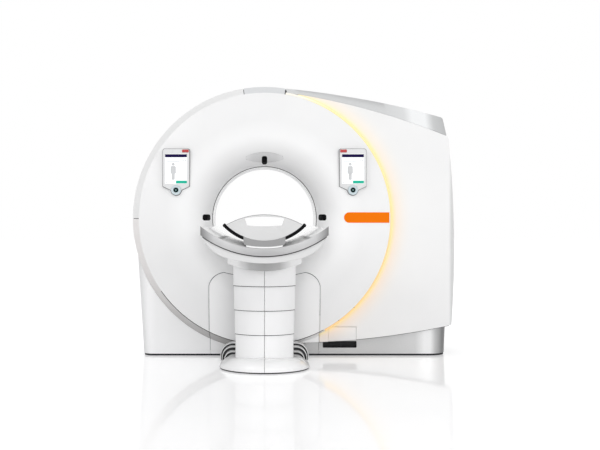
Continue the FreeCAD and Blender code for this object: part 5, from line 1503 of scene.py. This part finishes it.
@dataclass
class Column:
    """The telescoping column in four tiers, each split down the middle.

    Attributes:
        front: Front of the upper tier.
        rear: Rear of the upper tier.
        half: Half width of the upper tier.
        bow: Radius of its bowed front.
        step: Step from one tier to the next.
        wall: Wall of a tier.
        seam: Gap down the middle.
        shadow_wiper: Height of the black seal under a tier's foot; it also paints the shadow line under
            the step.
    """

    front: float = -1.080
    rear: float = -0.594
    half: float = 0.212
    bow: float = 0.244
    step: float = 0.005
    wall: float = 0.0042
    seam: float = 0.0024
    shadow_wiper: float = 0.0035

    def section(self, inset: float) -> tuple[float, float, float, float]:
        """Return half width, bow's radius, and its ends at the seam and corner, smaller by inset."""
        half, bow, centre = self.half - inset, self.bow - inset, self.front + self.bow
        start, corner = (centre - math.sqrt(bow ** 2 - x ** 2) for x in (self.seam / 2, half))
        return half, bow, start, corner

    def half_outline(self, inset: float) -> Path:
        """Return the plan of a tier's right half, smaller by inset."""
        half, bow, start, corner = self.section(inset)
        inner, inner_bow, inner_start, inner_corner = self.section(inset + self.wall)
        return [(self.seam / 2, start), (half, corner, bow, 20), (half, self.rear), (inner, self.rear),
                (inner, inner_corner), (self.seam / 2, inner_start, -inner_bow, 20)]

    def build(self) -> None:
        """Build the four tiers, each on its own body, with a black wiper under the upper three that also
        paints the shadow line of each step.
        """
        for count, (tier, body, foot, top) in enumerate((
                ("tier_a", "table_top", 0.566, 0.7396), ("tier_b", "tier_b", 0.402, 0.594),
                ("tier_c", "tier_c", 0.239, 0.454), ("tier_d", "gantry", 0.060, 0.314))):
            inset = count * self.step
            skin = Piece(f"{tier}_skin").solid(Plane.PLAN, foot, self.half_outline(inset), top - foot)
            skin.soften(0.0012, 2, 50).mirror()
            skin.deliver(COLUMN_WHITE, "column_white", [f"column_{tier}"], body, 35)
            # Painted shadow: the black wiper under each tier's foot darkens the line of the step.
            if tier != "tier_d":
                shadow_wiper = Piece(f"{tier}_wiper")
                shadow_wiper.solid(Plane.PLAN, foot - self.shadow_wiper, self.half_outline(inset + HAIR),
                            self.shadow_wiper - 0.0004)
                shadow_wiper.mirror().deliver(BLACK_RUBBER, "seal_black", [], body, 35)

    def prism(self, inset: float, foot: float = -0.02) -> Piece:
        """Make the column's whole plan as a tall prism that starts at foot, smaller by inset."""
        half, bow, _, corner = self.section(inset)
        rear = self.rear + abs(inset)
        return Piece("column_room").solid(Plane.PLAN, foot, [
            (-half, rear), (-half, corner), (half, corner, bow, 30), (half, rear)], 0.5)


@dataclass
class Foot:
    """The toe cover and the nested foot covers with their black seals.

    Attributes:
        half: Half width and front radius of the toe.
        middle: Centre of the toe's round front.
        rear: Rear of the toe.
        top: Height of the toe.
        rounding: Rounding of the toe's upper edge.
        base: Height of the toe's lower edge.
        arch_half: Half width of the largest arch.
        arch_top: Height of the largest arch.
        arch_corner: Rounding of the arches.
        arch_base: Height of the arches' lower edge.
    """

    half: float = 0.308
    middle: float = -0.900
    rear: float = -0.762
    top: float = 0.090
    rounding: float = 0.076
    base: float = 0.0085
    arch_half: float = 0.318
    arch_top: float = 0.125
    arch_corner: float = 0.092
    arch_base: float = 0.004

    def build(self) -> None:
        """Build the toe, the arches and the seals."""
        seam = Column.seam / 2
        toe = Piece("toe_skin").solid(Plane.PLAN, self.base, [
            (seam, self.rear), (seam, self.middle - self.half), (self.half, self.middle, self.half, 24),
            (self.half, self.rear)], self.top - self.base)
        toe.bevel([edge for edge in toe.mesh.edges
                   if min(vert.co.z for vert in edge.verts) > self.top - 1e-5
                   and min(vert.co.y for vert in edge.verts) < self.rear - 1e-5
                   and max(vert.co.x for vert in edge.verts) > 0.01], self.rounding, 10)
        for vert in toe.mesh.verts:
            share = min(max((vert.co.x - 0.12) / 0.19, 0.0), 1.0)
            vert.co.z = self.base + (vert.co.z - self.base) * (0.2 + 0.8 * (1 - share ** 2) ** 0.8)
        toe.carve(Column().prism(0.014)).mirror()
        toe.deliver(FOOT_WHITE, "foot_white", ["toe_cover"], smooth=35)
        # Black skirt in the gap under the toe; it also paints that gap's shade.
        inner, wall = self.half - 0.004, 0.012
        skirt = Piece("toe_skirt_shade").solid(Plane.PLAN, HAIR, [
            (0.0, self.middle - inner), (inner, self.middle, inner, 24), (inner, self.rear),
            (inner - wall, self.rear), (inner - wall, self.middle),
            (0.0, self.middle - inner + wall, wall - inner, 24)], self.base - HAIR)
        skirt.mirror().deliver(BLACK_RUBBER, "seal_black", smooth=35)
        for name, finish, slot, node, arches in (
                ("arch_skins", FOOT_WHITE, "foot_white", "foot_covers", (
                    (0.0, 0.006, -0.520, 0.078), (0.015, 0.006, -0.630, 0.084),
                    (0.036, 0.006, -0.736, 0.080))),
                ("arch_seals", BLACK_RUBBER, "seal_black", "foot_seals", (
                    (0.006, 0.009, -0.546, 0.026), (0.0205, 0.016, -0.656, 0.026),
                    (0.0415, 0.034, -0.762, 0.026)))):
            piece = Piece(name)
            for inset, wall, start, length in arches:
                piece.solid(Plane.FRONT, start, self.arch(inset, wall), length)
            piece.carve(Column().prism(0.007)).deliver(finish, slot, [node], smooth=35)

    def arch(self, inset: float, wall: float) -> Path:
        """Return an arch's front view, smaller than the largest by inset, with its wall."""
        half, top, corner = (size - inset for size in (self.arch_half, self.arch_top, self.arch_corner))
        inner, under, bend = half - wall, top - wall, corner - wall
        return [(-half, self.arch_base), (-inner, self.arch_base), (-inner, under - bend),
                (-inner + bend, under, -bend, 8), (inner - bend, under), (inner, under - bend, -bend, 8),
                (inner, self.arch_base), (half, self.arch_base), (half, top - corner),
                (half - corner, top, corner, 10), (corner - half, top), (-half, top - corner, corner, 10)]


@dataclass
class Cradle:
    """The table top: white trough, silver band, grey hull, and a white neck with painted shade in its
    middle.

    Attributes:
        foot: Foot end.
        head: Head end.
        half: Half width.
        tip: Height of its edges.
        sag: Depth of the trough.
        skin: Wall of the trough.
        keel_drop: Hull's lowest line under the trough.
    """

    foot: float = -2.700
    head: float = -0.545
    half: float = 0.328
    tip: float = 0.980
    sag: float = 0.113
    skin: float = 0.008
    keel_drop: float = 0.077

    @property
    def radius(self) -> float:
        """Radius of the trough."""
        return (self.half ** 2 + self.sag ** 2) / (2 * self.sag)

    @property
    def low(self) -> float:
        """Height of the trough's middle."""
        return self.tip - self.sag

    def build(self) -> None:
        """Build the trough and the band with its gasket, then the hull."""
        body, length, trough = "table_top", self.head - self.foot, (self.low, self.radius)
        half, start = self.half - 0.012, 0.010
        saddle = Piece("saddle_skin").solid(Plane.FRONT, self.foot + start, crescent(
            -half, half, trough, (self.low - self.skin, self.radius + self.skin), 40), length - start)
        saddle.soften(0.001, 2, 50).deliver(SADDLE_WHITE, "cradle_white", ["cradle_saddle"], body, 35)
        low, bow, start = self.low - 0.040, self.radius + 0.020, 0.0101
        band = Piece("band_skin").solid(Plane.FRONT, self.foot, crescent(
            -self.half, self.half, trough, (low, bow), 48), 0.010, 0.0025, 3)
        side = rise(self.half, low, bow)
        for sign in (-1, 1):
            outer, inner = sign * self.half, sign * (self.half - 0.0115)
            band.solid(Plane.FRONT, self.foot + start, [
                (outer, side), (outer, side + 0.034), (inner, side + 0.034), (inner, side)],
                length - start)
        band.deliver(BAND_SILVER_PAINTED_LIGHT, "cradle_silver", ["cradle_band"], body, 35)
        half = self.half - 0.010
        gasket = Piece("band_gasket").solid(Plane.FRONT, self.foot + 0.0015, crescent(
            -half, half, (low + 0.0003, bow), (low - 0.0042, bow), 48), 0.0088)
        gasket.deliver(BLACK_RUBBER, "cradle_silver", [], body, 35)
        self.build_hull(body)

    def hull_outline(self, inset: float) -> Path:
        """Return the hull's section, smaller by inset."""
        keel_radius, chine, chine_radius = 0.700, self.tip - 0.061, 0.190
        half, shoulder = self.half - 0.013 - inset, self.half - 0.128 - inset / 2
        wide = self.radius + self.skin
        corner = rise(shoulder, self.low - self.keel_drop, keel_radius) + inset
        top = rise(half, self.low - self.skin, wide) - 0.0005
        return [(-half, top), (-half, chine), (-shoulder, corner, chine_radius, 14),
                (shoulder, corner, keel_radius, 24), (half, chine, chine_radius, 14), (half, top),
                (-half, top, -(wide + 0.0005), 40)]

    def build_hull(self, body: str) -> None:
        """Build the hull and the neck under it on a body."""
        start = self.foot + 0.0105
        hull = Piece("hull_skin").solid(Plane.FRONT, start, self.hull_outline(0.0), self.head - start)
        hull.soften(0.002, 3, 60).deliver(HULL_GREY, "hull_grey", ["cradle_hull"], body, 30)
        half, low, high = 0.246, self.low - 0.144, self.low - self.keel_drop + 0.046
        neck = Piece("neck_skin").solid(Plane.FRONT, -1.150, [
            (-half, high), (-half, low), (half, low, 0.620, 30), (half, high)], 0.586).soften(0.008, 4, 50)
        room = Piece("hull_room").solid(Plane.FRONT, self.foot, self.hull_outline(-0.0005), -self.foot)
        neck.carve(room).carve(Column().prism(-0.0008, 0.28))
        neck.deliver(NECK_WHITE_PAINTED_SHADE, "neck_grey", ["neck_cover"], body, 30)


@dataclass
class Board:
    """The sliding board with its end cap and carriage.

    Attributes:
        foot: Foot end.
        head: Head end.
        half: Half width.
        bow: Outside radius of its section.
        low: Height of its underside.
        wall: Its wall.
        bead: Radius of the beads along its edges.
        crown: Height of the end cap's bowed top over its sides.
        clearance: Carriage's underside above the trough.
    """

    foot: float = -2.700
    head: float = -0.512
    half: float = 0.212
    bow: float = 0.290
    low: float = 0.895
    wall: float = 0.012
    bead: float = 0.0095
    crown: float = 0.052
    clearance: float = 0.0085

    def under(self, drop: float) -> Spot:
        """Return the lowest height and the radius of an arc that runs below the underside by drop."""
        return self.low - drop, self.bow + drop

    def build(self) -> None:
        """Build the board, its strips, the cap and the carriage."""
        edge, bend, length = rise(self.half, self.low, self.bow), (0.0062, 8), self.head - self.foot
        inside, lip = self.under(-self.wall), self.half - self.wall * 0.9
        lip_z = rise(lip, *inside)
        board = Piece("board_skin").solid(Plane.FRONT, self.foot, [
            (-self.half, edge), (self.half, edge, self.bow, 48), (lip, edge + 0.004, *bend), (lip, lip_z),
            (-lip, lip_z, -inside[1], 48), (-lip, edge + 0.004), (-self.half, edge, *bend)], length)
        for sign in (-1, 1):
            middle = (sign * (self.half - 0.008), (self.head + self.foot) / 2, edge - 0.003)
            board.carve(Piece("board_bead").rod(middle, self.bead, length, 24), "UNION")
        board.deliver(CARBON, "board_carbon", ["board_shell"], "board", 35)
        strips, trim = Piece("board_glide_strips"), Piece("board_end_trim")
        for sign in (-1, 1):
            strips.solid(Plane.FRONT, self.foot + 0.012, crescent(
                sign * 0.109, sign * 0.196, self.under(0.0007), self.under(0.0), 16), length - 0.08)
            trim.solid(Plane.FRONT, self.foot - 0.004, crescent(
                sign * 0.1078, sign * 0.204, self.under(0.0045), self.under(-self.wall - 0.0008), 16),
                0.014)
        strips.deliver(SADDLE_WHITE, "cradle_white", [], "board", 35)
        trim.deliver(WINDOW_BLACK, "board_carbon", [], "board", 35)
        self.build_cap()
        self.build_carriage()

    def build_cap(self) -> None:
        """Build the end cap with its grip window, and its dark rim."""
        half, bed = self.half - 0.018, self.under(-self.wall - 0.0004)
        side, dome = rise(half, *bed), (half ** 2 + self.crown ** 2) / (2 * self.crown)
        cap = Piece("end_cap_skin").solid(Plane.FRONT, self.foot - 0.006, [
            (-half, side), (half, side, bed[1], 40), (-half, side, dome, 40)], 0.028)
        low, bend, high = side - 0.002, side + 0.031, side + 0.036
        grip = Piece("grip_room").solid(Plane.FRONT, self.foot - 0.04, [
            (-0.089, low), (0.089, low, 0.9, 10), (0.101, bend), (0.096, high, 0.006, 4),
            (-0.096, high, 0.7, 12), (-0.101, bend, 0.006, 4)], 0.10)
        cap.carve(grip).soften(0.003, 3, 40)
        cap.deliver(CAP_GREY, "cap_grey", ["board_end_cap"], "board", 35)
        low, high = side + 0.0012, side + 0.0035
        rim = Piece("end_cap_rim").solid(Plane.FRONT, self.foot - 0.0045, [
            (half - 0.004, low), (0.004 - half, low, dome, 40), (0.002 - half, high),
            (half - 0.002, high, -dome, 40)], 0.025)
        rim.deliver(DARK_RIM_AND_SHADOW_LINE, "cap_grey", [], "board", 35)

    def build_carriage(self) -> None:
        """Build the carriage under the board, its skid and its glides."""
        cradle, half, corner, front = Cradle(), 0.107, 0.014, self.foot - 0.005
        flat, bend, roof = half - corner, (corner + 0.001, 8), self.under(0.0002)
        low, radius = cradle.low + self.clearance, cradle.radius - self.clearance
        foot, top = rise(flat, low, radius), rise(half, *roof)
        side = foot + corner + 0.002
        carriage = Piece("carriage_skin").solid(Plane.FRONT, front, [
            (-flat, foot), (flat, foot, radius, 20), (half, side, *bend), (half, top),
            (-half, top, -roof[1], 20), (-half, side), (-flat, foot, *bend)], 0.380)
        carriage.solid(Plane.FRONT, front, crescent(
            -half, half, (roof[0] + 0.0001, roof[1]), self.under(0.0002 - self.wall), 20), 0.0048)
        carriage.deliver(CARRIAGE_GREY, "carriage_grey", ["board_carriage"], "board", 35)
        pad = (cradle.low + HAIR, cradle.radius - HAIR)
        skid = Piece("carriage_skid").solid(Plane.FRONT, front + 0.004, crescent(
            -flat, flat, pad, (low + 0.0005, radius), 20), 0.012)
        skid.deliver(SADDLE_WHITE, "cradle_white", [], "board", 35)
        pads = Piece("carriage_glides")
        for left, right in ((-0.090, -0.050), (0.050, 0.090)):
            pads.solid(Plane.FRONT, -2.366, crescent(left, right, pad, (low + 0.001, radius), 1), 0.040)
        pads.deliver(BLACK_RUBBER, "carriage_grey", [], "board", 35)


# ------------------------------------------------------------------ inner pieces and room


INNER_FINISHES: tuple[tuple[Finish, tuple[str, ...]], ...] = (
    (FRAME_PAINT, ("base_frame", "stator_frame", "table_base", "rotor_drum", "table_top_frame")),
    (BARE_STEEL, ("levelling_feet", "bearing_outer_ring", "bearing_inner_ring", "slip_ring",
                  "flap_hinge_pin",
                  "lift_stage_one", "lift_stage_two", "lift_stage_three", "slide_roller")),
    (TUBE_CAST, ("rotor_magnets", "xray_tube_a", "xray_tube_b")),
    (UNIT_PAINT, ("detector_a", "detector_b", "rotor_power_units")),
    (COPPER, ("stator_coils",)), (BRUSH_GREY, ("brush_block",)), (WINDOW_FILM, ("scan_window",)))


def dress_inner_pieces(nodes: dict[str, bpy.types.Object]) -> None:
    """Give each CAD node that keeps its own shape its finish.

    Args:
        nodes: The frame's nodes by name.
    """
    for finish, names in INNER_FINISHES:
        for name in names:
            data = nodes[name].data
            data.materials.clear()
            data.materials.append(finish.material())
            LOG.info("%s: finish %s", name, finish.name)


@dataclass
class Studio:
    """Pale floor, soft light and the camera.

    Attributes:
        distance: Camera's place along the bore.
        height: Camera's height.
        lens: Focal length in millimetres.
        shift: Shift of the frame.
        aim: Point that the lamps face.
    """

    distance: float = -7.980
    height: float = 1.020
    lens: float = 62.04
    shift: Spot = (0.0592, -0.0108)
    aim: tuple[float, float, float] = (0.1, -0.4, 1.0)

    def build(self) -> None:
        """Build the floor, the lights, the world and the camera."""
        floor = Piece("studio_floor")
        bmesh.ops.create_grid(floor.mesh, x_segments=2, y_segments=2, size=40.0)
        made = floor.shape("studio_floor")
        made.location.z = -0.0005
        made.data.materials.append(PALE_FLOOR.material())
        floor.mesh.free()
        self.world()
        for name, place, size, power in (("key", (-6.5, -9.0, 5.5), 5.0, 160.0),
                                         ("front", (1.0, -16.0, 3.0), 8.0, 800.0),
                                         ("right", (7.5, -9.0, 3.0), 5.0, 160.0),
                                         ("back", (0.5, 7.5, 5.0), 5.0, 200.0)):
            data = bpy.data.lights.new(name, "AREA")
            data.size, data.energy = size, power
            lamp = bpy.data.objects.new(name, data)
            lamp.location = place
            lamp.visible_glossy = name == "key"
            lamp.rotation_euler = (Vector(self.aim) - Vector(place)).to_track_quat("-Z", "Y").to_euler()
            bpy.context.scene.collection.objects.link(lamp)
        data = bpy.data.cameras.new("camera")
        data.lens, data.sensor_width = self.lens, 36.0
        data.shift_x, data.shift_y = self.shift
        camera = bpy.data.objects.new("camera", data)
        camera.location = (0.0, self.distance, self.height)
        camera.rotation_euler = (UPRIGHT, 0, 0)
        bpy.context.scene.collection.objects.link(camera)
        bpy.context.scene.camera = camera
        bpy.context.scene.view_settings.view_transform = "Standard"

    def world(self) -> None:
        """Build even light whose backdrop is white to the camera and in gloss."""
        world = bpy.data.worlds.new("studio")
        bpy.context.scene.world = world
        world.use_nodes = True
        tree = world.node_tree
        tree.nodes.clear()
        output, mix, rays, shown = (tree.nodes.new(f"ShaderNode{kind}") for kind in (
            "OutputWorld", "MixShader", "LightPath", "Math"))
        shown.operation = "MAXIMUM"
        tree.links.new(rays.outputs["Is Camera Ray"], shown.inputs[0])
        tree.links.new(rays.outputs["Is Glossy Ray"], shown.inputs[1])
        tree.links.new(shown.outputs[0], mix.inputs[0])
        for slot, strength in ((1, 0.56), (2, 1.0)):
            light = tree.nodes.new("ShaderNodeBackground")
            light.inputs["Color"].default_value = (1, 1, 1, 1)
            light.inputs["Strength"].default_value = strength
            tree.links.new(light.outputs[0], mix.inputs[slot])
        tree.links.new(mix.outputs[0], output.inputs["Surface"])


def main() -> None:
    """Build the scanner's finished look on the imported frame."""
    logging.basicConfig(level=logging.INFO, format="%(name)s %(message)s")
    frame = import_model()
    Studio().build()
    for assembly in (FrontCover(), RingCovers(), Wing(), SilverCovers(), ControlPanels(), Badge(),
                     TunnelAndRear(), Column(), Foot(), Cradle(), Board()):
        assembly.build()
    dress_inner_pieces(frame["nodes"])


if __name__ == "__main__":
    main()
